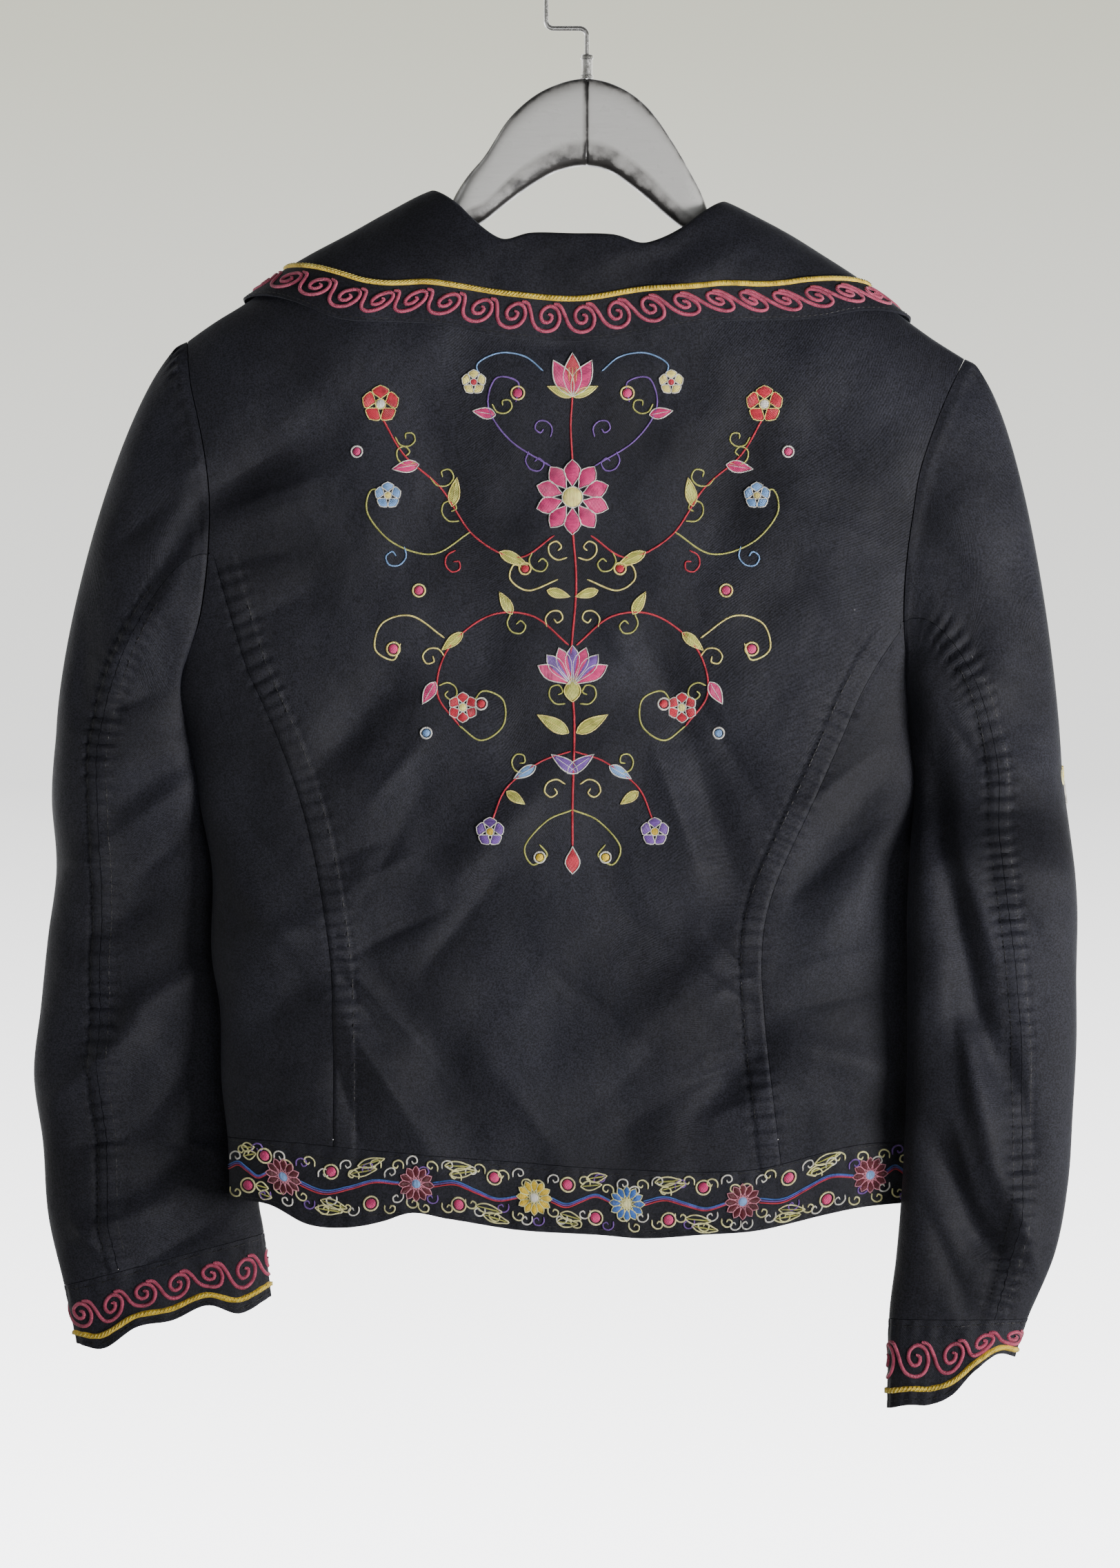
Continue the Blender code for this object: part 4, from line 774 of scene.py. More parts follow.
def plain_sleeve(side, turn, row):
    """Point of a sleeve without its folds."""
    sign = SIGN[side]
    phi = np.radians(turn)
    upper = (1 + np.cos(phi)) / 2
    clear = sign * (SEAM_GAP + UNDERARM_CLEAR * (1 - upper) ** 2)
    start = armhole_point(side, turn) + np.stack([clear, 0 * clear, 0 * clear], axis=-1)
    end = sleeve_ring(side, turn, 0 * row)
    down_out = CAP_REACH_OUT[1] * upper + UNDERARM_REACH * (1 - upper)
    down_out = down_out + CAP_SIDE_DOWN * np.sin(phi) ** 2
    out = sign * CAP_REACH_OUT[0] * upper**CAP_ROUND
    leave = np.stack([out, -CAP_SIDE_OUT * np.sin(phi), -down_out], axis=-1)
    down = CAP_REACH_DOWN[1] * upper + UNDERARM_REACH * (1 - upper)
    arrive = np.stack([sign * CAP_REACH_DOWN[0] * upper, 0 * down, -down], axis=-1)
    cap = hermite(start, end, leave, arrive, np.clip(row, 0, 1)[..., None])
    ring = np.clip(row - 1, 0, None)
    below = sleeve_ring(side, turn, ring)
    hold = (1 - ease(ring / RING_BLEND)) * (sleeve_ring(side, 0 * turn, 0 * ring)[..., 1]
                                            - sleeve_ring(side, 0 * turn, ring)[..., 1])
    below = below + np.stack([0 * hold, hold, 0 * hold], axis=-1)
    return np.where((row < 1)[..., None], cap, below)


def sleeve_seam_line(side):
    """The back seam of a sleeve as a line of close (x, z) points."""
    row = np.linspace(0, CUFF_RING + 1, 70)
    points = plain_sleeve(side, sleeve_seam_at[side](row), row)
    return list(zip(points[:, 0], points[:, 2]))


SLEEVE_LINES = {side: sleeve_seam_line(side) for side in SIGN}


def sleeve_detail(side, turn, row, x, z):
    """Creases of a sleeve, its felled back seam and the puckers of its cap, outwards."""
    phi = np.radians(turn)
    lean = np.abs(np.sin(phi)) * np.where(turn <= 180, 1, FRONT_SHARE)
    folds = fold_height(SLEEVE_FOLDS, side, x, z) + crease_height(SLEEVE_CREASES, side, x, z) + uneven(x, z)
    folds = folds + FOLD_CREST * crease_height(SLEEVE_FOLDS, side, x, z)
    distance, along = line_place(SLEEVE_LINES[side], x, z)
    begin = ease((along - 6) / 20)
    end = 1 - ease((row - CUFF_RING - 0.9) * 10)
    seam = seam_relief("sleeve", distance, along, 3 + SIGN[side]) * begin * end
    seam = seam * np.where(turn <= 180, 1, 0) * np.abs(np.sin(phi))
    down = np.clip(row, 0, 1) * CAP_LENGTH
    gather = np.sin(2 * np.pi * turn / PUCKER_TURN + np.sin(turn / 19) + down / 9)
    head = HEAD_DEPTH * gather * np.exp(-((down / 15 - 0.6) ** 2)) * np.cos(phi / 2) ** 2
    roll = HEAD_RISE * np.exp(-((down / 7 - 1) ** 2)) * np.cos(phi / 2) ** 2
    return (folds * lean + seam + head + roll) * ease(row * 12)


def sleeve(side, turn, row):
    """Point of a sleeve with all its folds."""
    turn = np.asarray(turn, float) + 0 * row
    row = np.asarray(row, float) + 0 * turn
    point = plain_sleeve(side, turn, row)
    swell = sleeve_detail(side, turn, row, point[..., 0], point[..., 2])
    spread, tall, across = UNDERARM_FOLD[side]
    low = (point[..., 2] - UNDERARM_FOLD_HEIGHT) / tall
    closing = across * np.exp(-(((turn - 180) / spread) ** 2) - low**2)
    point = point + np.stack([closing, 0 * closing, 0 * closing], axis=-1)
    front = np.where(turn <= 180, 1.0, -1.0)
    aside = -SIGN[side] * SIDEWAYS * np.cos(np.radians(turn)) * swell
    return point + np.stack([-aside, -front * swell, 0 * swell], axis=-1)




# The collar, whose base is worked out once for a row of stations
def collar_point(u, v, base):
    """Outer face of the folded collar at stations u; v is 0 at its base, 1 to 2 the fold, 3 the edge."""
    roll_x, roll_tau = station_at["roll_x"](u), station_at["roll_tau"](u)
    edge_x, edge_tau = station_at["edge_x"](u), station_at["edge_tau"](u)
    if v >= 2:
        share = v - 2
        point = collar_fall_point(mix(roll_x, edge_x, share), mix(roll_tau, edge_tau, share))
        return point + collar_swell(point, share)
    step = COLLAR_STEP
    roll = collar_fall_point(roll_x, roll_tau)
    inside = collar_fall_point(mix(roll_x, edge_x, step), mix(roll_tau, edge_tau, step))
    ahead = collar_fall_point(station_at["roll_x"](u + step), station_at["roll_tau"](u + step))
    behind = collar_fall_point(station_at["roll_x"](u - step), station_at["roll_tau"](u - step))
    along = unit(ahead - behind)
    out = unit(np.cross(unit(inside - roll), along))
    fall = unit(np.cross(along, out))
    centre = roll - out * COLLAR_ROLL
    if v >= 1:
        turn = np.pi * (2 - v)
        return centre + COLLAR_ROLL * (out * np.cos(turn) - fall * np.sin(turn))
    return mix(base, centre - out * COLLAR_ROLL, v)


def collar_swell(point, share):
    """Soft dents of the fall, mostly level, fading out towards the fold."""
    x, z = point[..., 0], point[..., 2]
    height = fold_height(COLLAR_FOLDS, "fall", x, z) + 0.45 * uneven(x * 1.3, z * 1.3)
    height = height * ease(share * 4)
    away = np.where(point[..., 1] < 0, -1.0, 1.0) * height * np.clip(np.abs(point[..., 1]) / 12, 0, 1)
    return np.stack([0 * away, away, 0 * away], axis=-1)


def mapper(function):
    """Points and outward normals of a surface function of two measures."""
    def at(a, b):
        step = 0.4
        point = function(a, b)
        sideways = function(a + step, b) - function(a - step, b)
        upwards = function(a, b + step) - function(a, b - step)
        return point, unit(np.cross(sideways, upwards))
    return at


def torso_map(face):
    """Maps (x, z) onto the torso, on the back or the front."""
    sign = 1 if face == "back" else -1

    def point(a, z):
        x = a * sign
        y = torso_y(plan_angle(x, z), x, z, face)
        return np.stack([x + 0 * z, y, z + 0 * x], axis=-1)
    return mapper(point)


def band_map(face):
    """Maps (distance across, height over the band's middle line) onto the hem band."""
    sign = 1 if face == "back" else -1

    def point(a, height):
        x = a * sign
        top = band_top_at(x) if face == "back" else band_line(x, "top")
        hem = band_hem_at(x) if face == "back" else band_line(x, "hem")
        z = (top + hem) / 2 + height
        y = torso_y(plan_angle(x, z), x, z, face)
        place = np.stack([x + 0 * z, y, z + 0 * x], axis=-1)
        if face == "front":
            place = np.where((x < CENTRE_X - LAP)[..., None], lapped(place, "left"), place)
        return place
    return mapper(point)


def collar_map():
    """Maps (distance along the collar's edge, distance in from it) onto the fall."""
    u = np.linspace(-8, 8, 641)
    edge = collar_fall_point(station_at["edge_x"](u), station_at["edge_tau"](u))
    roll = collar_fall_point(station_at["roll_x"](u), station_at["roll_tau"](u))
    share = np.linspace(0, 1, 25)[:, None]
    lines = collar_fall_point(mix(station_at["roll_x"](u), station_at["edge_x"](u), share),
                              mix(station_at["roll_tau"](u), station_at["edge_tau"](u), share))
    width = np.linalg.norm(np.diff(lines, axis=0), axis=-1).sum(axis=0)
    middle = mix(edge, roll, np.clip(14 / width, 0, 1)[:, None])
    along = np.concatenate([[0], np.cumsum(np.linalg.norm(np.diff(middle, axis=0), axis=-1))])
    along = along - np.interp(0, u, along)

    def point(s, inwards):
        station = np.interp(s, along, u)
        part = 1 - inwards / np.interp(station, u, width)
        part = np.clip(part, 0, 1.02)
        x = mix(station_at["roll_x"](station), station_at["edge_x"](station), part)
        tau = mix(station_at["roll_tau"](station), station_at["edge_tau"](station), part)
        place = collar_fall_point(x, tau)
        return place + collar_swell(place, part)
    return mapper(point), along[0], along[-1]


def cuff_map(side):
    """Maps (distance round the cuff, height over its lower edge) onto the cuff."""
    turn = np.linspace(0, 360, 721)
    ring = sleeve(side, turn % 360, np.full_like(turn, CUFF_RING + 1.6))
    along = np.concatenate([[0], np.cumsum(np.linalg.norm(np.diff(ring, axis=0), axis=-1))])
    flip = -SIGN[side]

    def point(s, height):
        at = np.interp((flip * s) % along[-1], along, turn)
        return sleeve(side, at % 360, CUFF_RING + 2 - height / CUFF_HEIGHT)
    return mapper(point), along[-1]


# Meshes
def thing_of(name, mesh, finish):
    made = bpy.data.objects.new(name, mesh)
    mesh.materials.append(finish)
    bpy.context.scene.collection.objects.link(made)
    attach(made, "root")
    return made


def grid_normals(points, closed=False):
    """Vertex normals of a grid of points, from its neighbours."""
    ahead, behind = np.roll(points, -1, axis=1), np.roll(points, 1, axis=1)
    if not closed:
        ahead[:, -1], behind[:, 0] = points[:, -1], points[:, 0]
    down, up = np.roll(points, -1, axis=0), np.roll(points, 1, axis=0)
    down[-1], up[0] = points[-1], points[0]
    return unit(np.cross(ahead - behind, down - up))


def outward(normals, points, hollow):
    """Normals turned to point away from the hollow that a wall goes round."""
    return normals * np.sign(np.mean(np.sum(normals * (points - hollow), axis=-1)))


def pull_in(outer, inner, edges, gap):
    """Draw chosen edges of a wall back by half of the seam's gap."""
    places = {"first_row": ((0, slice(None)), (1, slice(None))),
              "last_row": ((-1, slice(None)), (-2, slice(None))),
              "first_column": ((slice(None), 0), (slice(None), 1)),
              "last_column": ((slice(None), -1), (slice(None), -2))}
    for edge in edges:
        here, next_to = places[edge]
        shift = unit(outer[next_to] - outer[here]) * gap
        outer[here] += shift
        inner[here] += shift


def quads(rows, columns, wrap, base=0, flip=False):
    """Faces of a grid of points."""
    i, j = np.meshgrid(np.arange(rows - 1), np.arange(columns if wrap else columns - 1), indexing="ij")
    k = (j + 1) % columns
    corners = [i * columns + j, i * columns + k, (i + 1) * columns + k, (i + 1) * columns + j]
    faces = np.stack(corners, axis=-1).reshape(-1, 4) + base
    return faces[:, ::-1] if flip else faces


def wall(name, outer, inner, finish, closed=False):
    """A thin closed shell between two grids of points, with a rim along its edges."""
    rows, columns = outer.shape[:2]
    count = rows * columns
    ring = np.arange(columns)
    ring_next = (ring + 1) % columns if closed else ring[1:]
    ring = ring if closed else ring[:-1]
    last = (rows - 1) * columns
    faces = [quads(rows, columns, closed), quads(rows, columns, closed, count, True)]
    faces.append(np.stack([ring, ring + count, ring_next + count, ring_next], axis=-1))
    faces.append(np.stack([ring, ring_next, ring_next + count, ring + count], axis=-1) + last)
    if not closed:
        side = np.arange(rows - 1) * columns
        below = side + columns
        faces.append(np.stack([side, below, below + count, side + count], axis=-1))
        end = columns - 1
        faces.append(np.stack([side, side + count, below + count, below], axis=-1) + end)
    points = np.concatenate([outer.reshape(-1, 3), inner.reshape(-1, 3)])
    mesh = mesh_of(name, points, np.concatenate(faces))
    lengths = [np.linalg.norm(np.diff(outer, axis=axis), axis=-1) for axis in (1, 0)]
    u = np.concatenate([np.zeros((rows, 1)), np.cumsum(lengths[0], axis=1)], axis=1)
    v = np.concatenate([np.zeros((1, columns)), np.cumsum(lengths[1], axis=0)], axis=0)
    flat = np.stack([u, v], axis=-1).reshape(-1, 2) * MM
    set_uv(mesh, np.concatenate([flat, flat]))
    work = bmesh.new()
    work.from_mesh(mesh)
    bmesh.ops.recalc_face_normals(work, faces=work.faces)
    work.to_mesh(mesh)
    work.free()
    mesh.shade_smooth()
    mesh.set_sharp_from_angle(angle=math.radians(60))
    return thing_of(name, mesh, finish)


def mesh_of(name, points, faces):
    """A mesh from points in millimetres and an array of faces."""
    mesh = bpy.data.meshes.new(name)
    mesh.from_pydata((points * MM).tolist(), [], faces.tolist())
    mesh.update()
    return mesh


def set_uv(mesh, values):
    """Gives each vertex its place on the flat cloth, in metres."""
    layer = mesh.uv_layers.new(name="UVMap")
    index = np.zeros(len(mesh.loops), np.int32)
    mesh.loops.foreach_get("vertex_index", index)
    layer.data.foreach_set("uv", values[index].astype(np.float32).ravel())


def crowded(count):
    """Shares from 0 to 1 that crowd towards both ends."""
    even = np.linspace(0, 1, count + 1)
    return mix(even, (1 - np.cos(np.pi * even)) / 2, GRID_CROWDING)


def torso_hollow(points):
    return points * np.array([0, 0, 1]) + np.array([CENTRE_X, 0, 0])


def fine_rows(first, count):
    """Rows of the torso from the first one to the top of the hem band."""
    upper = int(count * (1 - first) / (2 - first))
    above = np.linspace(first, 1, upper, endpoint=False)
    return np.concatenate([above, np.linspace(1, 2, count - upper + 1)])


# Materials
def shader_of(name, colour, roughness, metallic=0.0):
    made = bpy.data.materials.new(name)
    made.use_nodes = True
    shader = made.node_tree.nodes["Principled BSDF"]
    shader.inputs["Base Color"].default_value = (*colour, 1.0)
    shader.inputs["Roughness"].default_value = roughness
    shader.inputs["Metallic"].default_value = metallic
    return made, made.node_tree.nodes, made.node_tree.links, shader


def noise_of(nodes, links, vector, scale, detail=3.0):
    made = nodes.new("ShaderNodeTexNoise")
    made.inputs["Scale"].default_value = scale
    made.inputs["Detail"].default_value = detail
    links.new(vector, made.inputs["Vector"])
    return made


def ramp_of(nodes, links, source, stops):
    """A colour ramp from (place, colour) stops."""
    made = nodes.new("ShaderNodeValToRGB")
    elements = made.color_ramp.elements
    while len(elements) < len(stops):
        elements.new(0.5)
    for element, (place, colour) in zip(elements, stops):
        element.position = place
        element.color = (*colour, 1.0)
    links.new(source, made.inputs["Fac"])
    return made


def bump_of(nodes, links, height, strength, distance, under=None):
    made = nodes.new("ShaderNodeBump")
    made.inputs["Strength"].default_value = strength
    made.inputs["Distance"].default_value = distance
    links.new(height, made.inputs["Height"])
    if under:
        links.new(under.outputs["Normal"], made.inputs["Normal"])
    return made


def cloth_material():
    """Black cotton twill: fine diagonal ribs, a faint cool sheen, soft crinkles and lint."""
    made, nodes, links, shader = shader_of("black_twill", (0.008, 0.008, 0.010), 0.67)
    shader.inputs["Sheen Weight"].default_value = 0.05
    shader.inputs["Sheen Roughness"].default_value = 0.42
    shader.inputs["Sheen Tint"].default_value = (0.72, 0.78, 0.92, 1.0)
    shader.inputs["Specular IOR Level"].default_value = 0.23
    flat = nodes.new("ShaderNodeUVMap").outputs["UV"]
    solid = nodes.new("ShaderNodeTexCoord").outputs["Object"]
    ribs = nodes.new("ShaderNodeTexWave")
    ribs.bands_direction = "DIAGONAL"
    ribs.inputs["Scale"].default_value = 520.0
    ribs.inputs["Distortion"].default_value = 0.6
    ribs.inputs["Detail"].default_value = 1.0
    links.new(flat, ribs.inputs["Vector"])
    yarn = noise_of(nodes, links, flat, 1400.0, 1.0)
    crinkle = noise_of(nodes, links, solid, 95.0, 4.0)
    worn = noise_of(nodes, links, solid, 14.0, 4.0)
    tone = ramp_of(nodes, links, worn.outputs["Fac"],
                   [(0.3, (0.0090, 0.0093, 0.0134)), (0.7, (0.0165, 0.0171, 0.0248))])
    grain = noise_of(nodes, links, solid, 1100.0, 2.0)
    mottle = ramp_of(nodes, links, grain.outputs["Fac"], [(0.35, (0.5,) * 3), (0.65, (1.6,) * 3)])
    mottled = nodes.new("ShaderNodeMix")
    mottled.data_type = "RGBA"
    mottled.blend_type = "MULTIPLY"
    mottled.inputs["Factor"].default_value = 1.0
    links.new(tone.outputs["Color"], mottled.inputs["A"])
    links.new(mottle.outputs["Color"], mottled.inputs["B"])
    lint = nodes.new("ShaderNodeTexVoronoi")
    lint.inputs["Scale"].default_value = 150.0
    links.new(solid, lint.inputs["Vector"])
    speck = ramp_of(nodes, links, lint.outputs["Distance"], [(0.05, (1, 1, 1)), (0.085, (0, 0, 0))])
    pick = ramp_of(nodes, links, lint.outputs["Color"], [(0.93, (0, 0, 0)), (0.95, (1, 1, 1))])
    few = nodes.new("ShaderNodeMath")
    few.operation = "MULTIPLY"
    links.new(speck.outputs["Color"], few.inputs[0])
    links.new(pick.outputs["Color"], few.inputs[1])
    lit = nodes.new("ShaderNodeMix")
    lit.data_type = "RGBA"
    links.new(few.outputs[0], lit.inputs["Factor"])
    links.new(mottled.outputs["Result"], lit.inputs["A"])
    lit.inputs["B"].default_value = (0.09, 0.09, 0.095, 1.0)
    links.new(lit.outputs["Result"], shader.inputs["Base Color"])
    creased = bump_of(nodes, links, noise_of(nodes, links, solid, 26.0, 3.0).outputs["Fac"], 0.5, 0.0055)
    soft = bump_of(nodes, links, crinkle.outputs["Fac"], 0.35, 0.0012, creased)
    weave = bump_of(nodes, links, ribs.outputs["Fac"], 0.30, 0.0002, soft)
    fine = bump_of(nodes, links, yarn.outputs["Fac"], 0.5, 0.00015, weave)
    links.new(fine.outputs["Normal"], shader.inputs["Normal"])
    return made


def thread_material(name, colour, shine=0.25):
    """Satin-stitched thread: its stitches lie across the shape, with a soft gloss."""
    made, nodes, links, shader = shader_of("thread_" + name, colour, 0.5)
    shader.inputs["Sheen Weight"].default_value = shine
    shader.inputs["Sheen Roughness"].default_value = 0.3
    shader.inputs["Specular IOR Level"].default_value = 0.45
    flat = nodes.new("ShaderNodeUVMap").outputs["UV"]
    solid = nodes.new("ShaderNodeTexCoord").outputs["Object"]
    stitches = nodes.new("ShaderNodeTexWave")
    stitches.bands_direction = "X"
    stitches.inputs["Scale"].default_value = 420.0
    stitches.inputs["Distortion"].default_value = 1.2
    links.new(flat, stitches.inputs["Vector"])
    tone = noise_of(nodes, links, solid, 210.0, 3.0)
    darker = tuple(c * 0.62 for c in colour)
    lighter = tuple(min(c * 1.22 + 0.01, 1.0) for c in colour)
    shade = ramp_of(nodes, links, tone.outputs["Fac"], [(0.3, darker), (0.5, colour), (0.72, lighter)])
    links.new(shade.outputs["Color"], shader.inputs["Base Color"])
    bump = bump_of(nodes, links, stitches.outputs["Fac"], 0.7, 0.00035)
    fuzz = bump_of(nodes, links, tone.outputs["Fac"], 0.4, 0.0006, bump)
    links.new(fuzz.outputs["Normal"], shader.inputs["Normal"])
    return made


def wood_material():
    """Black lacquer on wood with a painted reflection: pale grey on its flat faces, black at its top and
    bottom edges, under it and at its dark joint, broken up by noise scuffs.
    """
    made, nodes, links, shader = shader_of("black_lacquer", (0.018, 0.017, 0.017), 0.3)
    solid = nodes.new("ShaderNodeTexCoord").outputs["Object"]
    stretched = nodes.new("ShaderNodeMapping")
    stretched.inputs["Scale"].default_value = (1.0, 4.0, 5.0)
    links.new(solid, stretched.inputs["Vector"])
    grain = noise_of(nodes, links, stretched.outputs["Vector"], 60.0, 6.0)
    scuffs = noise_of(nodes, links, solid, 130.0, 6.0)
    # Mask of the painted reflection, made in build_hanger: low on the flat faces, high at the top and bottom
    # edges, under the wood and at the dark joint
    wear = nodes.new("ShaderNodeAttribute")
    wear.attribute_name = "wear"
    both = nodes.new("ShaderNodeMath")
    both.operation = "MULTIPLY"
    links.new(wear.outputs["Fac"], both.inputs[0])
    links.new(scuffs.outputs["Fac"], both.inputs[1])
    # Painted reflection: pale grey where the mask is low (the flat faces); the lacquer's own black at the
    # edges, underneath and at the joint
    colour = ramp_of(nodes, links, both.outputs[0],
                     [(0.0, (0.52, 0.52, 0.505)), (0.16, (0.34, 0.336, 0.325)),
                      (0.34, (0.035, 0.033, 0.032)), (0.60, (0.016, 0.015, 0.015))])
    links.new(colour.outputs["Color"], shader.inputs["Base Color"])
    rough = ramp_of(nodes, links, scuffs.outputs["Fac"], [(0.3, (0.24,) * 3), (0.7, (0.42,) * 3)])
    links.new(rough.outputs["Color"], shader.inputs["Roughness"])
    bump = bump_of(nodes, links, grain.outputs["Fac"], 0.25, 0.0008)
    chips = bump_of(nodes, links, both.outputs[0], 0.35, 0.0008, bump)
    links.new(chips.outputs["Normal"], shader.inputs["Normal"])
    return made


def steel_material():
    made, nodes, links, shader = shader_of("drawn_steel", (0.56, 0.56, 0.57), 0.3, 1.0)
    solid = nodes.new("ShaderNodeTexCoord").outputs["Object"]
    marks = noise_of(nodes, links, solid, 900.0, 4.0)
    stain = noise_of(nodes, links, solid, 70.0, 4.0)
    colour = ramp_of(nodes, links, stain.outputs["Fac"],
                     [(0.35, (0.58, 0.575, 0.56)), (0.6, (0.86, 0.86, 0.85))])
    links.new(colour.outputs["Color"], shader.inputs["Base Color"])
    rough = ramp_of(nodes, links, marks.outputs["Fac"], [(0.3, (0.2,) * 3), (0.7, (0.42,) * 3)])
    links.new(rough.outputs["Color"], shader.inputs["Roughness"])
    bump = bump_of(nodes, links, marks.outputs["Fac"], 0.15, 0.0002)
    links.new(bump.outputs["Normal"], shader.inputs["Normal"])
    return made


def button_material():
    made, nodes, links, shader = shader_of("black_resin", (0.014, 0.013, 0.013), 0.28)
    solid = nodes.new("ShaderNodeTexCoord").outputs["Object"]
    swirl = noise_of(nodes, links, solid, 240.0, 4.0)
    colour = ramp_of(nodes, links, swirl.outputs["Fac"],
                     [(0.35, (0.009, 0.009, 0.009)), (0.7, (0.03, 0.027, 0.025))])
    links.new(colour.outputs["Color"], shader.inputs["Base Color"])
    bump = bump_of(nodes, links, swirl.outputs["Fac"], 0.1, 0.0003)
    links.new(bump.outputs["Normal"], shader.inputs["Normal"])
    return made


CLOTH = cloth_material()
WOOD = wood_material()
STEEL = steel_material()
RESIN = button_material()


# Shells
def shell(node, surface, across, rows, edges, hollow, nodes=None):
    """The fine cloth of one piece, from a surface function over (across, row)."""
    grid_across, grid_rows = np.meshgrid(across, rows)
    outer = surface(grid_across, grid_rows)
    normals = outward(grid_normals(outer), outer, hollow(outer, grid_rows))
    inner = outer - normals * WALL
    pull_in(outer, inner, edges, SEAM_GAP / 2)
    made = wall("cloth_" + node, outer, inner, CLOTH)
    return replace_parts(made, *(nodes or [node]))


def torso_middle(points, rows):
    return torso_hollow(points)


def build_back():
    def surface(across, row):
        angle = mix(back_edge_angle("left", row), back_edge_angle("right", row), across)
        return torso(angle, row, "back")

    columns, rows = CLOTH_GRID["back_middle"]
    edges = ("first_column", "last_column", "first_row", "last_row")
    made = shell("back_middle", surface, crowded(columns), fine_rows(0, rows), edges, torso_middle)


def build_side_back(side):
    def surface(across, row):
        inner = angle_on_line(princess_at[side], row, "back", TIP[side][0])
        return torso(mix(inner, armhole_angle(side, row, "back"), across), row, "back")

    columns, rows = CLOTH_GRID["back_side"]
    edges = ("first_column", "last_column", "last_row")
    first = SEAM_ROW[side] / ARMHOLE_ROWS
    made = shell("back_side_" + side, surface, crowded(columns), fine_rows(first, rows), edges, torso_middle)


def build_front(side):
    def surface(across, row):
        angle = mix(armhole_angle(side, row, "front"), neckline_angle(side, row), across)
        return lapped(torso(angle, row, "front"), side)

    columns, rows = CLOTH_GRID["front"]
    edges = ("first_column", "first_row", "last_row")
    made = shell("front_" + side, surface, crowded(columns), fine_rows(0, rows), edges, torso_middle)


def band_point(angle, row, face):
    x = CENTRE_X + TIP["right"][0] * np.sin(angle) + 0 * row
    for _ in range(SOLVE_STEPS):
        top = band_top_at(x) if face == "back" else band_line(x, "top")
        hem = band_hem_at(x) if face == "back" else band_line(x, "hem")
        z = mix(top, hem, row)
        centre, half = middle_and_half(z)
        x = centre + half * np.sin(angle)
    ripple = edge_relief((top - z), x, 1.0) + edge_relief((z - hem), x, 2.0)
    away = ripple * np.cos(angle) * (-1 if face == "back" else 1)
    return np.stack([x, torso_y(angle, x, z, face) + away, z], axis=-1)


def build_bands():
    rows = np.linspace(0, 1, 23)
    bottom = np.array(2.0)

    def back(across, row):
        return band_point(mix(-np.pi / 2, np.pi / 2, across), row, "back")

    made = shell("hem_band_back", back, np.linspace(0, 1, 221), rows,
                 ("first_column", "last_column", "first_row"), torso_middle)
    for side, sign in SIGN.items():
        def front(across, row, side=side, sign=sign):
            end = float(neckline_angle(side, bottom))
            return lapped(band_point(mix(sign * np.pi / 2, end, across), row, "front"), side)

        made = shell("hem_band_front_" + side, front, np.linspace(0, 1, 121), rows,
                     ("first_column", "first_row"), torso_middle)


def sleeve_middle(side, rows):
    """The middle of the sleeve's hollow at each row."""
    return (sleeve(side, 0 * rows, rows) + sleeve(side, 0 * rows + 180, rows)) / 2


def build_sleeve(side):
    start = SEAM_ROW[side] * 180 / ARMHOLE_ROWS

    def upper(across, row):
        back_seam = sleeve_seam_at[side](row)
        turn = np.where(across < 0.5, mix(-start, 0, across * 2), mix(0, back_seam, across * 2 - 1))
        return sleeve(side, turn % 360, row)

    def under(across, row):
        return sleeve(side, mix(sleeve_seam_at[side](row), 360.0 - start, across), row)

    def hollow(points, grid_rows):
        return sleeve_middle(side, grid_rows)

    edges = ("first_column", "last_column", "last_row")
    columns, count = CLOTH_GRID["sleeve_upper"]
    rows = np.concatenate([np.linspace(0, 1, count // 3, endpoint=False),
                           np.linspace(1, CUFF_RING + 1, count - count // 3)])
    name = "sleeve_upper_" + side
    parts = [f"{name}_{stretch}" for stretch, _, _ in SLEEVE_STRETCHES]
    made = shell(name, upper, np.linspace(0, 1, columns + 1), rows, edges, hollow, parts)
    columns = CLOTH_GRID["sleeve_under"][0]
    name = "sleeve_under_" + side
    parts = [f"{name}_{stretch}" for stretch, _, _ in SLEEVE_STRETCHES]
    made = shell(name, under, np.linspace(0, 1, columns + 1), rows, edges, hollow, parts)


def build_cuff(side):
    turns = np.linspace(0, 360, 145)[:-1]
    rows = CUFF_RING + 1 + np.linspace(0, 1, 21)
    grid_turns, grid_rows = np.meshgrid(turns, rows)
    outer = sleeve(side, grid_turns, grid_rows)
    normals = outward(grid_normals(outer, True), outer, sleeve_middle(side, grid_rows))
    up = (CUFF_RING + 2 - grid_rows) * CUFF_HEIGHT
    ripple = edge_relief(CUFF_HEIGHT - up, grid_turns * 0.6, 1.0) + edge_relief(up, grid_turns * 0.6, 4.0)
    outer = outer + normals * ripple[..., None]
    inner = outer - normals * WALL
    pull_in(outer, inner, ("first_row",), SEAM_GAP / 2)
    made = wall("cloth_cuff_" + side, outer, inner, CLOTH, True)
    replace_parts(made, "cuff_" + side)


def build_collar():
    stations = np.linspace(-8, 8, 261)
    base = collar_base_point(stations)
    rows = np.concatenate([np.linspace(0, 1, 6)[:-1], np.linspace(1, 2, 11)[:-1], np.linspace(2, 3, 41)])
    outer = np.stack([collar_point(stations, row, base) for row in rows])
    normals = outward(grid_normals(outer), outer, torso_hollow(outer))
    made = wall("cloth_collar", outer, outer - normals * COLLAR_WALL, CLOTH)
    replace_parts(made, "collar")


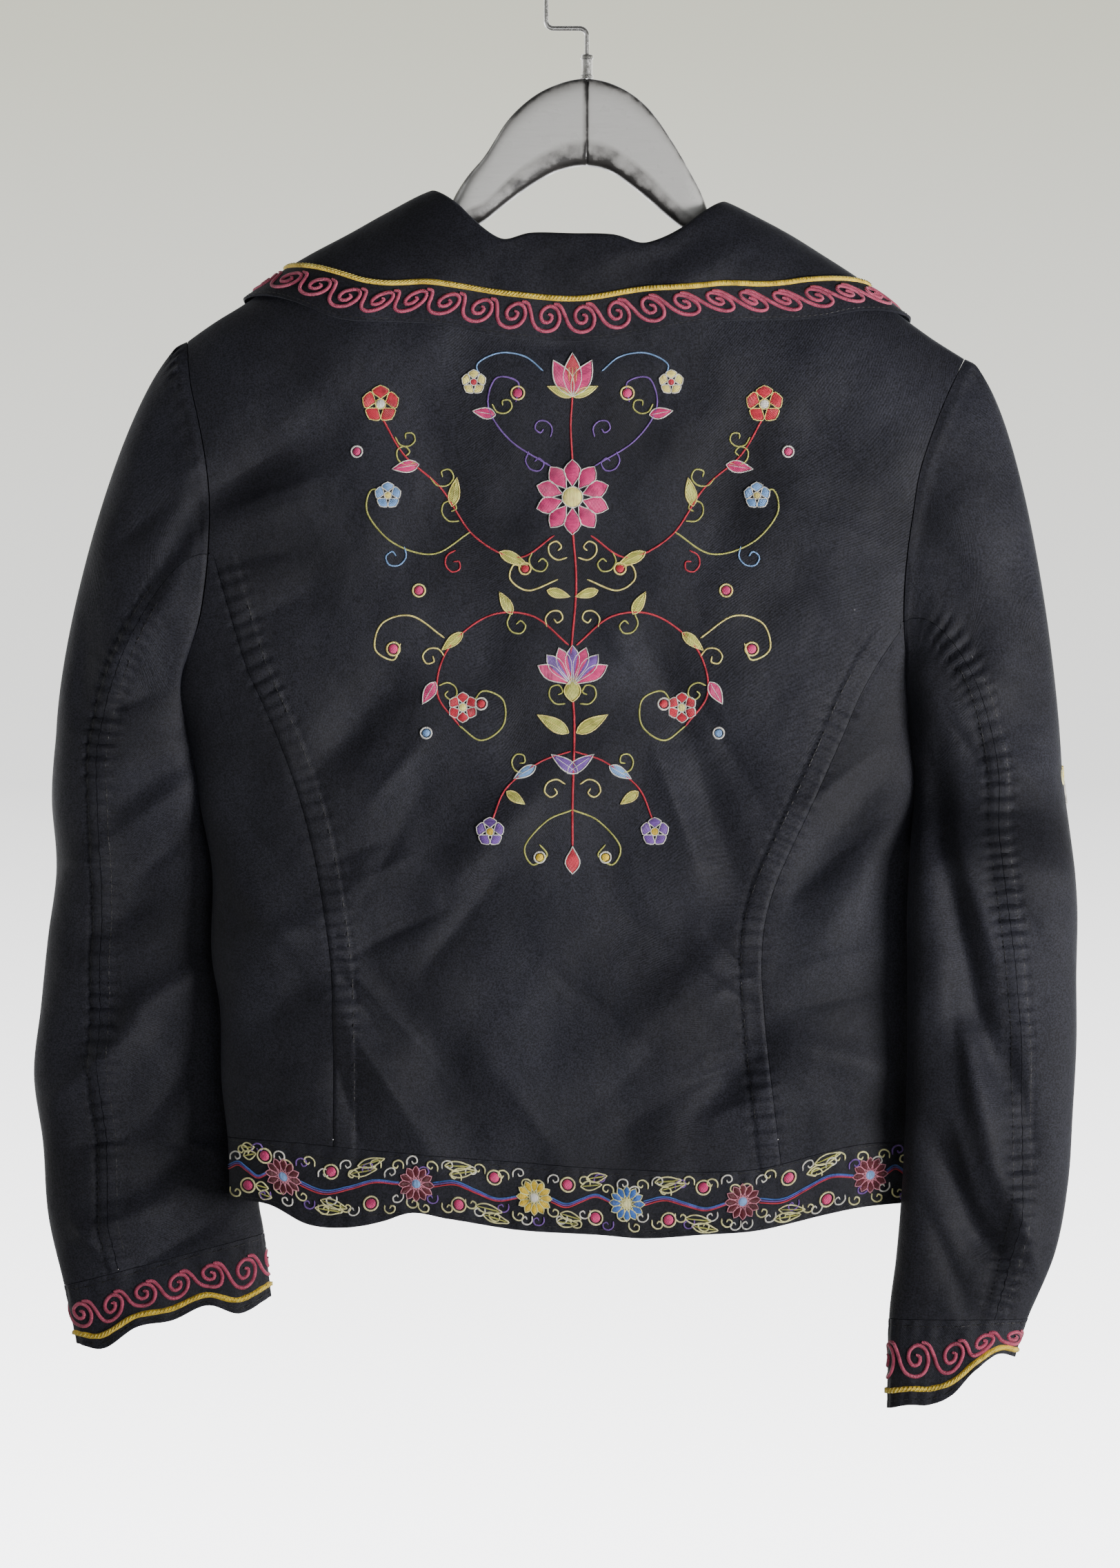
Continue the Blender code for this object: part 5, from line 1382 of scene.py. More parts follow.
# Hanger, hook and buttons
def build_hanger():
    """The shaped wood, in fine upright slices, with a fine groove where its halves meet."""
    slices = np.array(sorted(hanger_slices()))
    names = ("x", "top", "bottom", "thickness")
    table = (names,) + tuple(tuple(row) for row in slices)
    at = {name: smooth(table, "x", name) for name in names[1:]}
    even = np.linspace(slices[0, 0], slices[-1, 0], 190)
    x = np.unique(np.concatenate([even, [-0.6, -0.25, 0.0, 0.25, 0.6]]))
    turns = np.linspace(0, 2 * np.pi, 49)[:-1]
    rings = []
    for one in x:
        top, bottom, thickness = (float(at[name](one)) for name in names[1:])
        fade = ease((abs(one) - NECK_REACH[0]) / (NECK_REACH[1] - NECK_REACH[0]))
        power = 2 / mix(NECK_SQUARENESS + 1.5, ARM_SQUARENESS, fade)
        groove = 0.35 if abs(one) < 0.3 else 0.0
        y = np.sign(np.cos(turns)) * np.abs(np.cos(turns)) ** power * (thickness / 2 - groove)
        z = np.sign(np.sin(turns)) * np.abs(np.sin(turns)) ** power * ((top - bottom) / 2 - groove)
        rings.append(np.stack([np.full_like(y, one), y, z + (top + bottom) / 2], axis=-1))
    rings = np.stack(rings)
    count = len(turns)
    mesh = mesh_of("hanger_body", rings.reshape(-1, 3), quads(len(x), count, True))
    work = bmesh.new()
    work.from_mesh(mesh)
    bmesh.ops.holes_fill(work, edges=[edge for edge in work.edges if edge.is_boundary])
    bmesh.ops.recalc_face_normals(work, faces=work.faces)
    work.to_mesh(mesh)
    work.free()
    mesh.shade_smooth()
    mesh.set_sharp_from_angle(angle=math.radians(SHARP_ANGLE))
    # Mask of the painted reflection: 0 on the flat faces, where the reflection is painted pale, rising to 1
    # at the top and bottom edges and further under the wood; the joint term adds the real dark line where the
    # halves meet
    corner = np.abs(np.sin(turns)) ** 3 + 0.35 * (np.sin(turns) < -0.2)
    joint = 0.7 * np.exp(-((x / 1.0) ** 2))[:, None]
    wear = np.clip(corner[None, :] + joint, 0, 1).reshape(-1)
    mesh.attributes.new("wear", "FLOAT", "POINT").data.foreach_set("value", wear.astype(np.float32))
    made = thing_of("hanger_body", mesh, WOOD)
    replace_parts(made, "hanger_wood")


def hanger_slices():
    """All slices of the hanger, from its left tip to its right one."""
    slices = list(HANGER_NECK[1:])
    for arm in (HANGER_LEFT_ARM, HANGER_RIGHT_ARM):
        for x, height, thickness in arm[1:]:
            top = float(shoulder_at(x)) - HANGER_SEAT
            slices.append((x, top, top - height, thickness))
    return slices


def hook_route():
    """Centreline of the wire, from the wood up over the rail to its free end."""
    middle = WIRE_RADIUS - HOOK_RADIUS
    bend = HOOK_BEND_RADIUS
    corner = -HOOK_RADIUS + bend
    points = [(0.0, WOOD_TOP + SEAM_GAP), (0.0, HOOK_JOG_Z - bend)]
    for turn in np.radians(np.linspace(0, 90, 10)[1:]):
        points.append((-bend + bend * math.cos(turn), HOOK_JOG_Z - bend + bend * math.sin(turn)))
    points.append((corner, HOOK_JOG_Z))
    for turn in np.radians(np.linspace(0, 90, 10)[1:]):
        points.append((corner - bend * math.sin(turn), HOOK_JOG_Z + bend - bend * math.cos(turn)))
    for turn in np.radians(np.linspace(180, 0, 61)):
        points.append((HOOK_RADIUS * math.cos(turn), middle + HOOK_RADIUS * math.sin(turn)))
    points.append((HOOK_RADIUS, middle - HOOK_END_DROP))
    return points


def build_hook():
    curve = bpy.data.curves.new("hook_wire", "CURVE")
    curve.dimensions = "3D"
    curve.bevel_depth = WIRE_RADIUS * MM
    curve.bevel_resolution = 6
    curve.use_fill_caps = True
    route = hook_route()
    spline = curve.splines.new("POLY")
    spline.points.add(len(route) - 1)
    for point, (x, z) in zip(spline.points, route):
        point.co = (x * MM, 0, z * MM, 1)
    made = thing_of("hook_wire", curve, STEEL)
    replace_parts(made, "hanger_hook")


def turned(name, profile, finish, steps=48):
    """A mesh turned round Z from a closed profile of (radius, z)."""
    turns = np.arange(steps) * 2 * np.pi / steps
    radius, z = np.array(profile).T
    points = np.stack([np.outer(np.cos(turns), radius), np.outer(np.sin(turns), radius),
                       np.tile(z, (steps, 1))], axis=-1)
    rows = np.concatenate([points, points[:1]])
    count = len(profile)
    faces = quads(steps + 1, count, True) % (steps * count)
    mesh = mesh_of(name, rows[:-1].reshape(-1, 3), faces)
    work = bmesh.new()
    work.from_mesh(mesh)
    bmesh.ops.recalc_face_normals(work, faces=work.faces)
    work.to_mesh(mesh)
    work.free()
    mesh.shade_smooth()
    mesh.set_sharp_from_angle(angle=math.radians(35))
    return thing_of(name, mesh, finish)


def build_ferrule():
    bottom = WOOD_TOP + SEAM_GAP
    rim = FERRULE_RADIUS - FERRULE_RIM
    profile = [(FERRULE_BORE, bottom), (FERRULE_BORE, FERRULE_TOP), (rim, FERRULE_TOP),
               (FERRULE_RADIUS - 0.2, FERRULE_TOP - 0.25), (FERRULE_RADIUS, FERRULE_TOP - FERRULE_RIM),
               (FERRULE_RADIUS, FERRULE_TOP - 2.2), (FERRULE_RADIUS - 0.5, FERRULE_TOP - 2.7),
               (FERRULE_RADIUS - 0.5, bottom + 2.0), (FERRULE_RADIUS, bottom + 1.4), (FERRULE_RADIUS, bottom)]
    made = turned("ferrule_turned", profile, STEEL)
    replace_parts(made, "hook_ferrule")


def build_buttons():
    """Four-hole buttons with a raised rim."""
    for number, height in enumerate(BUTTON_HEIGHTS, 1):
        low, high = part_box(f"button_{number}")
        y = (low[1] + high[1]) / 2 / MM
        half = BUTTON_THICKNESS / 2
        radius = BUTTON_RADIUS
        profile = [(0.01, -half), (radius - 1.0, -half), (radius - 0.2, -half + 0.5), (radius, 0.2),
                   (radius - 0.3, half - 0.3), (radius - 1.0, half), (radius - 2.0, half - 0.2),
                   (radius - 2.8, half - 0.9), (0.01, half - 1.1)]
        made = turned(f"button_turned_{number}", profile, RESIN)
        made.matrix_world = bpy_rotation(CENTRE_X, y, height)
        cutters = []
        for across, up in ((-1, -1), (1, -1), (-1, 1), (1, 1)):
            place = ((CENTRE_X + across * BUTTON_HOLE_AT) * MM, y * MM, (height + up * BUTTON_HOLE_AT) * MM)
            bpy.ops.mesh.primitive_cylinder_add(vertices=16, radius=BUTTON_HOLE_RADIUS * MM, depth=20 * MM,
                                                location=place, rotation=(math.radians(90), 0, 0))
            cutters.append(bpy.context.object)
        for cutter in cutters:
            cut = made.modifiers.new("hole", "BOOLEAN")
            cut.operation = "DIFFERENCE"
            cut.object = cutter
        graph = bpy.context.evaluated_depsgraph_get()
        made.data = bpy.data.meshes.new_from_object(made.evaluated_get(graph))
        made.modifiers.clear()
        for cutter in cutters:
            bpy.data.objects.remove(cutter)
        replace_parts(made, f"button_{number}")


def bpy_rotation(x, y, z):
    """A place on the front whose +Z looks to +Y."""
    return Matrix.Translation((x * MM, y * MM, z * MM)) @ Matrix.Rotation(math.radians(-90), 4, "X")
# Embroidery. Sizes are in millimetres on the cloth; places are named below.
THREADS = {
    "rose": (0.46, 0.070, 0.135), "pink": (0.66, 0.045, 0.19), "coral": (0.56, 0.030, 0.055),
    "yellow": (0.92, 0.78, 0.24), "gold": (0.86, 0.58, 0.04), "white": (0.78, 0.76, 0.70),
    "lilac": (0.19, 0.09, 0.38), "blue": (0.05, 0.15, 0.50), "sky": (0.20, 0.38, 0.72),
    "green": (0.50, 0.50, 0.12), "cream": (0.80, 0.76, 0.38), "maroon": (0.10, 0.010, 0.018),
    "blush": (0.66, 0.26, 0.34), "black": (0.010, 0.010, 0.011),
}
DEGREES_PER_MM = 1.1            # round the outer side of a sleeve
THREAD_LIFT = 0.28              # of a stitched line's crest over the cloth, before its own height
PATH_STEP = 1.3
LINE_PROFILE = ((-1.0, -0.6, 0.0, 0.6, 1.0), (-0.15, 0.75, 1.0, 0.75, -0.15))   # across, and its rise
FILL_RINGS = ((1.0, 0.86, 0.5, 0.0), (-0.1, 0.7, 1.0, 1.05))                    # share of size, and rise
SCROLL_PITCH = 18.4
SCROLL_WIDTH = 2.25
# One unit of the running scroll, as (share of a pitch, height): a slanted stem that runs
# round below and curls into a spiral head
SCROLL_UNIT = ((-0.84, 15.4), (-0.64, 14.2), (-0.49, 9.8), (-0.38, 5.2), (-0.22, 1.8), (0.03, 0.6),
               (0.27, 2.6), (0.37, 7.4), (0.28, 12.0), (0.06, 14.0), (-0.14, 11.8), (-0.18, 8.2),
               (-0.06, 5.3), (0.11, 6.0), (0.14, 8.8), (0.03, 9.8))
COLLAR_CORD = (22.5, 4.8)       # in from the collar's edge: at its middle, and more at its sides
COLLAR_SCROLL = (4.2, 2.0)      # from the edge to the foot of the scroll, likewise
COLLAR_SIDE = 120.0             # along the edge from the middle to the sides
CUFF_CORD = 7.0                 # over a cuff's edge
CUFF_SCROLL = 11.5
BAND_FLOWERS = (
    ("face", "x", "petals", "middle"),
    ("back", -166.4, "maroon", "sky"), ("back", -93.5, "maroon", "sky"),
    ("back", -28.9, "gold", "white"), ("back", 21.7, "blue", "cream"),
    ("back", 85.1, "maroon", "sky"), ("back", 155.0, "maroon", "sky"),
    ("front", -162.0, "maroon", "sky"), ("front", -108.0, "gold", "white"),
    ("front", -56.0, "maroon", "sky"), ("front", 40.0, "maroon", "sky"),
    ("front", 94.0, "blue", "cream"), ("front", 148.0, "maroon", "sky"),
)
BAND_REACH = {"back": ((-197, 184),), "front": ((-178, -34), (18, 172))}
VINES = ("blue", "lilac", "coral")
VINE_OFFSETS = (1.3, 0.1, -1.1)
VINE_WAVE = ((0.0, 0.5), (0.25, 3.2), (0.5, 0.0), (0.75, -3.2), (1.0, -0.5))
VINE_BERRIES = ((0.36, -1, 8.4), (0.66, 1, 8.8))                 # share, side and height
VINE_LEAVES = ((0.28, 1, 7.6, 14), (0.50, -1, 7.8, 8), (0.56, -1, 12.0, 12), (0.24, 1, 12.2, 4))    # and turn
CURL = ((0.0, 0.0), (0.35, 0.28), (0.78, 0.20), (0.98, -0.16), (0.76, -0.46), (0.44, -0.34), (0.52, -0.10))
CURL_PITCH = 6.2
CURL_ROOM = 4.4
CURL_STARTS = (10.2, 4.8, 8.4)   # over the middle of the band
SLEEVE_SPRAY = (2.0, -446.0)    # on the outer side of the right sleeve: across and height
CURL_COLOURS = ("cream", "white", "cream", "lilac", "cream", "white")
BACK_AXIS = -8.0
# Stems of the back's own bouquet, from its axis; those marked 2 are drawn on both sides
BACK_STEMS = (
    ("colour", "width", "sides", "points"),
    ("coral", 1.3, 1, ((0, -318), (2, -350), (-1, -392), (1, -425), (0, -468), (0, -492))),
    ("coral", 1.1, 1, ((0, -246), (-1, -262), (0, -282))),
    ("coral", 1.1, 2, ((10, -322), (30, -334), (54, -322), (72, -296), (92, -278), (104, -258))),
    ("green", 1.0, 2, ((56, -320), (76, -332), (98, -326), (112, -310), (110, -297), (101, -300))),
    ("coral", 1.1, 2, ((2, -382), (22, -366), (46, -366), (68, -384), (74, -408), (62, -426))),
    ("green", 1.0, 2, ((62, -426), (50, -434), (38, -426), (38, -412), (49, -407), (55, -415))),
    ("lilac", 1.0, 2, ((12, -284), (34, -270), (46, -252), (42, -236), (30, -238), (31, -249))),
    ("yellow", 1.0, 2, ((8, -346), (24, -352), (34, -346), (32, -338), (25, -341))),
    ("yellow", 1.0, 2, ((70, -378), (88, -366), (104, -370), (108, -384), (98, -390), (94, -381))),
    ("coral", 1.0, 2, ((1, -440), (18, -446), (36, -460), (44, -478))),
    ("green", 1.0, 2, ((0, -472), (14, -478), (26, -492), (22, -502), (14, -497), (18, -491))),
    ("sky", 0.9, 2, ((16, -232), (26, -224), (40, -222), (52, -228), (50, -236))),
)
BACK_LEAVES = (
    ("colour", "edge", "sides", "x", "z", "turn", "length", "width"),
    ("green", "yellow", 2, 40, -331, 205, 17, 6), ("green", "yellow", 2, 66, -306, 100, 16, 6),
    ("pink", "white", 2, 84, -283, 350, 15, 6.5), ("green", "yellow", 2, 33, -365, 60, 14, 5.5),
    ("green", "yellow", 2, 60, -375, 320, 15, 5.5), ("pink", "white", 2, 75, -402, 300, 14, 6.5),
    ("lilac", "white", 2, 3, -452, 145, 18, 6.5), ("green", "yellow", 2, 2, -430, 30, 20, 7),
    ("sky", "white", 2, 20, -448, 330, 14, 5.5), ("green", "yellow", 2, 36, -462, 215, 12, 5),
    ("pink", "white", 2, 42, -256, 10, 13, 6), ("green", "yellow", 2, 14, -352, 195, 13, 5),
)
BACK_FLOWERS = (
    ("petals", "edge", "middle", "count", "sides", "x", "z", "radius"),
    ("pink", "white", "yellow", 10, 1, 0, -301, 21), ("coral", "yellow", "white", 5, 2, 105, -250, 10.5),
    ("sky", "white", "yellow", 5, 2, 101, -300, 7.5), ("coral", "white", "yellow", 6, 2, 60, -416, 8.5),
    ("lilac", "white", "gold", 5, 2, 45, -484, 8.0), ("yellow", "white", "coral", 5, 2, 54, -238, 7.0),
)
BACK_BERRIES = (
    ("colour", "ring", "sides", "x", "z", "radius"),
    ("pink", "yellow", 2, 30, -244, 3.6), ("coral", "yellow", 2, 26, -340, 3.2),
    ("pink", "yellow", 2, 98, -384, 3.6), ("coral", "white", 2, 50, -414, 3.2),
    ("pink", "yellow", 2, 84, -352, 3.4), ("gold", "white", 2, 18, -498, 3.0),
    ("sky", "white", 2, 80, -430, 3.0), ("pink", "white", 2, 118, -276, 3.0),
)
BACK_CURLS = (
    ("colour", "sides", "x", "z", "turn", "size", "flip"),
    ("green", 2, 22, -331, 250, 12, 1), ("green", 2, 62, -314, 40, 13, -1),
    ("green", 2, 78, -290, 190, 13, 1), ("green", 2, 86, -282, 25, 12, -1),
    ("green", 2, 97, -268, 200, 11, 1), ("yellow", 2, 14, -372, 120, 11, -1),
    ("green", 2, 34, -365, 250, 12, 1), ("yellow", 2, 70, -388, 10, 12, 1),
    ("green", 2, 73, -404, 200, 11, -1), ("yellow", 2, 3, -334, 25, 12, -1),
    ("green", 2, 4, -414, 40, 12, -1), ("yellow", 2, 4, -458, 350, 12, 1),
    ("green", 2, 27, -452, 60, 11, -1), ("green", 2, 44, -250, 200, 11, 1),
    ("lilac", 2, 24, -276, 250, 12, 1), ("lilac", 2, 12, -268, 60, 11, 1),
    ("sky", 2, 92, -328, 300, 13, -1), ("coral", 2, 64, -330, 290, 12, 1),
)


def curve_through(points, step=PATH_STEP):
    """A smooth path through points, with places about a step apart."""
    points = np.asarray(points, float)
    before, after = 2 * points[0] - points[1], 2 * points[-1] - points[-2]
    points = np.concatenate([[before], points, [after]])
    path = []
    for i in range(1, len(points) - 2):
        count = max(2, int(round(np.linalg.norm(points[i + 1] - points[i]) / step)))
        t = (np.arange(count) / count)[:, None]
        leave, arrive = (points[i + 1] - points[i - 1]) / 2, (points[i + 2] - points[i]) / 2
        path.append(hermite(points[i], points[i + 1], leave, arrive, t))
    return np.concatenate(path + [points[-2:-1]])


def circle(x, z, radius, count=16, start=0.0, sweep=360.0):
    turn = np.radians(start + np.linspace(0, sweep, count + 1))
    return np.stack([x + radius * np.cos(turn), z + radius * np.sin(turn)], axis=-1)


def petal(x, z, turn, length, width, sharp=0.75, count=9):
    """Outline of a petal or a leaf that begins at (x, z) and points along turn."""
    t = np.linspace(0, 1, count)
    half = width / 2 * np.sin(np.pi * t**sharp)
    along = np.concatenate([t * length, t[-2:0:-1] * length])
    aside = np.concatenate([half, -half[-2:0:-1]])
    c, s = math.cos(math.radians(turn)), math.sin(math.radians(turn))
    return np.stack([x + along * c - aside * s, z + along * s + aside * c], axis=-1)


def closed_path(outline):
    return np.concatenate([outline, outline[:1]])


class Embroidery:
    """Stitched lines and fills on one place of the cloth, joined by thread colour."""

    def __init__(self, place, at):
        self.place, self.at = place, at
        self.drawn = []
        self.parts = {}

    def line(self, colour, path, width=1.0, height=0.35, taper=0.5):
        """A satin line: a low rounded ridge along a path, thinner towards its ends."""
        self.drawn.append((self.raise_line, colour, np.asarray(path, float), (width, height, taper)))

    def fill(self, colour, outline, height=0.45, turn=0.0):
        """A filled shape that domes up from its outline; turn is the way its stitches run."""
        outline = np.asarray(outline, float)
        middle = outline.mean(axis=0)
        rings = np.concatenate([middle + (outline - middle) * share for share in FILL_RINGS[0]])
        self.drawn.append((self.raise_fill, colour, rings, (height, turn)))

    def keep(self, colour, points, faces, flat):
        self.parts.setdefault(colour, []).append((points, faces, flat))

    def raise_line(self, colour, path, point, normal, width, height, taper):
        along = unit(np.gradient(point, axis=0) + 1e-9)
        aside = unit(np.cross(along, normal))
        run = np.concatenate([[0], np.cumsum(np.linalg.norm(np.diff(point, axis=0), axis=-1))])
        ends = np.clip(np.minimum(run, run[-1] - run) / (1.5 * width) + 1 - taper, 1 - taper, 1)
        across, crest = (np.array(row) for row in LINE_PROFILE)
        rise = crest * (THREAD_LIFT + height)
        half = (width / 2 * ends)[:, None, None]
        points = point[:, None] + aside[:, None] * across[:, None] * half + normal[:, None] * rise[:, None]
        flat = np.stack(np.broadcast_arrays(run[:, None], across * width / 2), axis=-1).reshape(-1, 2)
        self.keep(colour, points.reshape(-1, 3), quads(len(path), len(across), False), flat)

    def raise_fill(self, colour, rings, point, normal, height, turn):
        count = len(rings) // len(FILL_RINGS[1])
        rise = np.repeat(FILL_RINGS[1], count)[:, None] * (THREAD_LIFT + height)
        c, s = math.cos(math.radians(turn)), math.sin(math.radians(turn))
        flat = np.stack([rings[:, 0] * c + rings[:, 1] * s, rings[:, 1] * c - rings[:, 0] * s], axis=-1)
        self.keep(colour, point + normal * rise, quads(len(FILL_RINGS[1]), count, True), flat)

    def finish(self):
        """Lay everything on the cloth at once, then join what has the same colour."""
        if self.drawn:
            flat = np.concatenate([places for _, _, places, _ in self.drawn])
            point, normal = self.at(flat[:, 0], flat[:, 1])
            start = 0
            for raised, colour, places, sizes in self.drawn:
                end = start + len(places)
                raised(colour, places, point[start:end], normal[start:end], *sizes)
                start = end
        for colour, parts in self.parts.items():
            points, faces, flats, base = [], [], [], 0
            for point, face, flat in parts:
                points.append(point)
                faces.append(face + base)
                flats.append(flat)
                base += len(point)
            name = f"embroidery_{self.place}_{colour}"
            mesh = mesh_of(name, np.concatenate(points), np.concatenate(faces))
            set_uv(mesh, np.concatenate(flats) * MM)
            mesh.shade_smooth()
            thing_of(name, mesh, THREAD_FINISH[colour])


THREAD_FINISH = {name: thread_material(name, colour) for name, colour in THREADS.items()}


def rising(s, sizes):
    """A distance from the collar's edge that grows from its middle to its sides."""
    return sizes[0] + sizes[1] * ease(np.abs(s) / COLLAR_SIDE)


def scroll_row(work, start, end, foot, colour):
    """The running scroll between two places along an edge."""
    count = int((end - start) / SCROLL_PITCH)
    pitch = (end - start) / count
    unit_path = curve_through([(a * pitch, b) for a, b in SCROLL_UNIT])
    for number in range(count):
        path = unit_path + (start + (number + 0.5) * pitch, 0)
        path = path + np.stack([0 * path[:, 0], rising(path[:, 0], foot)], axis=-1)
        work.line(colour, path, SCROLL_WIDTH, 0.7, 0.45)


def cord(work, start, end, height, width=3.3):
    """A twisted cord: a thick gold line with slanted, raised yellow strokes for its twist, whose lighter
    yellow is partly painted highlight.
    """
    s = np.arange(start, end, 1.0)
    work.line("gold", np.stack([s, rising(s, height)], axis=-1), width, 1.1, 0.2)
    # Slanted strokes for the twist, raised over the gold line; their lighter yellow is partly a painted
    # highlight on the twist's crests
    for lean in np.arange(start + 2, end - 2, 2.2):
        middle = float(rising(lean, height))
        twist = [(lean - 0.8, middle - 1.0), (lean + 0.1, middle), (lean + 1.0, middle + 1.0)]
        work.line("yellow", np.array(twist), 0.7, 1.4, 0.5)


def flower(work, x, z, radius, count, petals, edge, middle, start=90.0):
    width = 2 * math.pi * radius * 0.62 / count * 1.15
    for number in range(count):
        turn = start + number * 360 / count
        c, s = math.cos(math.radians(turn)), math.sin(math.radians(turn))
        outline = petal(x + c * radius * 0.26, z + s * radius * 0.26, turn, radius * 0.72, width, 1.25, 7)
        work.fill(petals, outline, 0.5, turn)
        work.line(edge, closed_path(outline), 0.7, 0.65, 0.2)
    work.fill(middle, circle(x, z, radius * 0.27, 12)[:-1], 0.8)
    work.line(edge, circle(x, z, radius * 0.27, 14), 0.7, 0.7, 0.1)


def berry(work, x, z, radius, colour, ring):
    work.fill(colour, circle(x, z, radius * 0.72, 12)[:-1], 0.8, 30.0)
    work.line(ring, circle(x, z, radius, 18), 1.1, 0.55, 0.1)


def leaf(work, x, z, turn, length, width, colour, edge):
    outline = petal(x, z, turn, length, width)
    work.fill(colour, outline, 0.35, turn + 60)
    work.line(edge, closed_path(outline), 0.8, 0.55, 0.3)
    c, s = math.cos(math.radians(turn)), math.sin(math.radians(turn))
    vein = np.array([(x + c * length * k, z + s * length * k) for k in (0.1, 0.35, 0.6, 0.82)])
    work.line(edge, vein, 0.6, 0.6, 0.5)


def both_sides(sides):
    return (1, -1) if sides == 2 else (1,)


def back_bouquet():
    """A symmetrical bouquet of common folk motifs in the middle of the back."""
    work = Embroidery("back", torso_map("back"))
    for colour, width, sides, points in BACK_STEMS[1:]:
        for flip in both_sides(sides):
            path = curve_through(points) * (flip, 1) + (BACK_AXIS, 0)
            work.line(colour, path, width, 0.35, 0.6)
    for colour, edge, sides, x, z, turn, length, width in BACK_LEAVES[1:]:
        for flip in both_sides(sides):
            aim = turn if flip > 0 else 180 - turn
            leaf(work, BACK_AXIS + flip * x, z, aim, length, width, colour, edge)
    for colour, sides, x, z, turn, size, bend in BACK_CURLS[1:]:
        for flip in both_sides(sides):
            aim = turn if flip > 0 else 180 - turn
            curl(work, BACK_AXIS + flip * x, z, aim, size, bend * flip, colour)
    for petals, edge, middle, count, sides, x, z, radius in BACK_FLOWERS[1:]:
        for flip in both_sides(sides):
            flower(work, BACK_AXIS + flip * x, z, radius, count, petals, edge, middle)
    for colour, ring, sides, x, z, radius in BACK_BERRIES[1:]:
        for flip in both_sides(sides):
            berry(work, BACK_AXIS + flip * x, z, radius, colour, ring)
    tulip(work, BACK_AXIS, -246, 24)
    fan(work, BACK_AXIS, -404, 22)
    drop = petal(BACK_AXIS, -492, 270, 15, 8, 1.3)
    work.fill("coral", drop, 0.5, 20)
    work.line("white", closed_path(drop), 0.9, 0.6, 0.2)
    work.finish()


def tulip(work, x, z, height):
    """A tulip of three petals over two sepals."""
    for turn, colour in ((118, "pink"), (62, "pink"), (90, "coral")):
        outline = petal(x, z, turn, height * (1.0 if turn == 90 else 0.94), height * 0.42, 0.9)
        work.fill(colour, outline, 0.45, turn + 40)
        work.line("white", closed_path(outline), 0.9, 0.62, 0.2)
    for turn in (158, 22):
        leaf(work, x, z, turn, height * 0.62, height * 0.2, "green", "yellow")
    for share in (-0.5, 0.0, 0.5):
        hatch = np.array([(x + share * height * 0.16, z + height * k) for k in (0.34, 0.5, 0.66)])
        work.line("yellow", hatch, 0.7, 0.75, 0.5)


def fan(work, x, z, radius):
    """A carnation seen from the side: a fan of petals over a cup."""
    for number in range(7):
        turn = 30 + number * 20
        outline = petal(x, z, turn, radius, radius * 0.36, 1.5, 8)
        work.fill("lilac" if number % 2 else "pink", outline, 0.4, turn + 30)
        work.line("white", closed_path(outline), 0.8, 0.55, 0.2)
    cup = petal(x, z - 9, 90, 13, 9, 0.9)
    work.fill("green", cup, 0.7, 15)
    work.line("yellow", closed_path(cup), 0.8, 0.8, 0.2)


def curl(work, x, z, turn, size, flip, colour, width=0.95):
    """A small curled tendril that begins at (x, z)."""
    c, s = math.cos(math.radians(turn)), math.sin(math.radians(turn))
    path = np.array([(a * size, b * size * flip) for a, b in CURL])
    path = np.stack([x + path[:, 0] * c - path[:, 1] * s, z + path[:, 0] * s + path[:, 1] * c], axis=-1)
    work.line(colour, curve_through(path, 0.9), width, 0.4, 0.5)


def open_leaf(work, x, z, turn, length, width, edge, vein):
    """A leaf in outline, with a vein."""
    outline = curve_through(closed_path(petal(x, z, turn, length, width, 0.8, 6)), 1.2)
    work.line(edge, outline, 0.9, 0.45, 0.3)
    c, s = math.cos(math.radians(turn)), math.sin(math.radians(turn))
    line = np.array([(x + c * length * k, z + s * length * k) for k in (0.1, 0.4, 0.7, 0.9)])
    work.line(vein, line, 0.9, 0.45, 0.5)


def hem_vine(face, start, end):
    """Flowers in a row with a waving stem, leaves, berries and curled tendrils between them."""
    work = Embroidery(f"hem_{face}_{'left' if start < 0 else 'right'}", band_map(face))
    spots = sorted([row for row in BAND_FLOWERS[1:] if row[0] == face and start < row[1] < end],
                   key=lambda row: row[1])
    stops = [start] + [row[1] for row in spots] + [end]
    for number, (low, high) in enumerate(zip(stops[:-1], stops[1:])):
        gap = high - low
        up = 1 if number % 2 == 0 else -1
        first, last = (0 if number == 0 else 9), (0 if number == len(stops) - 2 else 9)
        a, b = low + first, high - last
        for offset, colour in zip(VINE_OFFSETS, VINES):
            wave = [(mix(a, b, k), offset * (1 - 0.5 * k) + rise * up) for k, rise in VINE_WAVE]
            work.line(colour, curve_through(wave), 0.85, 0.45, 0.4)
        taken = []
        if gap > 30:
            for share, side, size in VINE_BERRIES:
                berry(work, mix(low, high, share), side * up * size, 3.9, "pink", "cream")
                taken.append((mix(low, high, share), side * up))
            for share, side, size, turn in VINE_LEAVES:
                open_leaf(work, mix(low, high, share), side * up * size, turn * side * up,
                          min(15.0, gap * 0.23), 5.0, "cream", "green")
        count = max(1, int(round(gap / CURL_PITCH)))
        for k in range(count):
            x = mix(low, high, (k + 0.5) / count)
            for edge in (1, -1):
                if any(abs(x - near) < CURL_ROOM and edge == side for near, side in taken):
                    continue
                colour = CURL_COLOURS[(k + number + (edge > 0)) % len(CURL_COLOURS)]
                lean = 1 if (k + number) % 2 == 0 else -1
                turn = 90 * edge - 40 * lean * edge
                reach = CURL_STARTS[(k + (edge > 0)) % len(CURL_STARTS)]
                curl(work, x - lean * 2, edge * reach, turn, 6.6, lean * edge, colour)
    for _, x, petals, middle in spots:
        flower(work, x, 0.0, 10.0, 12, petals, "blush" if petals == "maroon" else "cream", middle)
    work.finish()


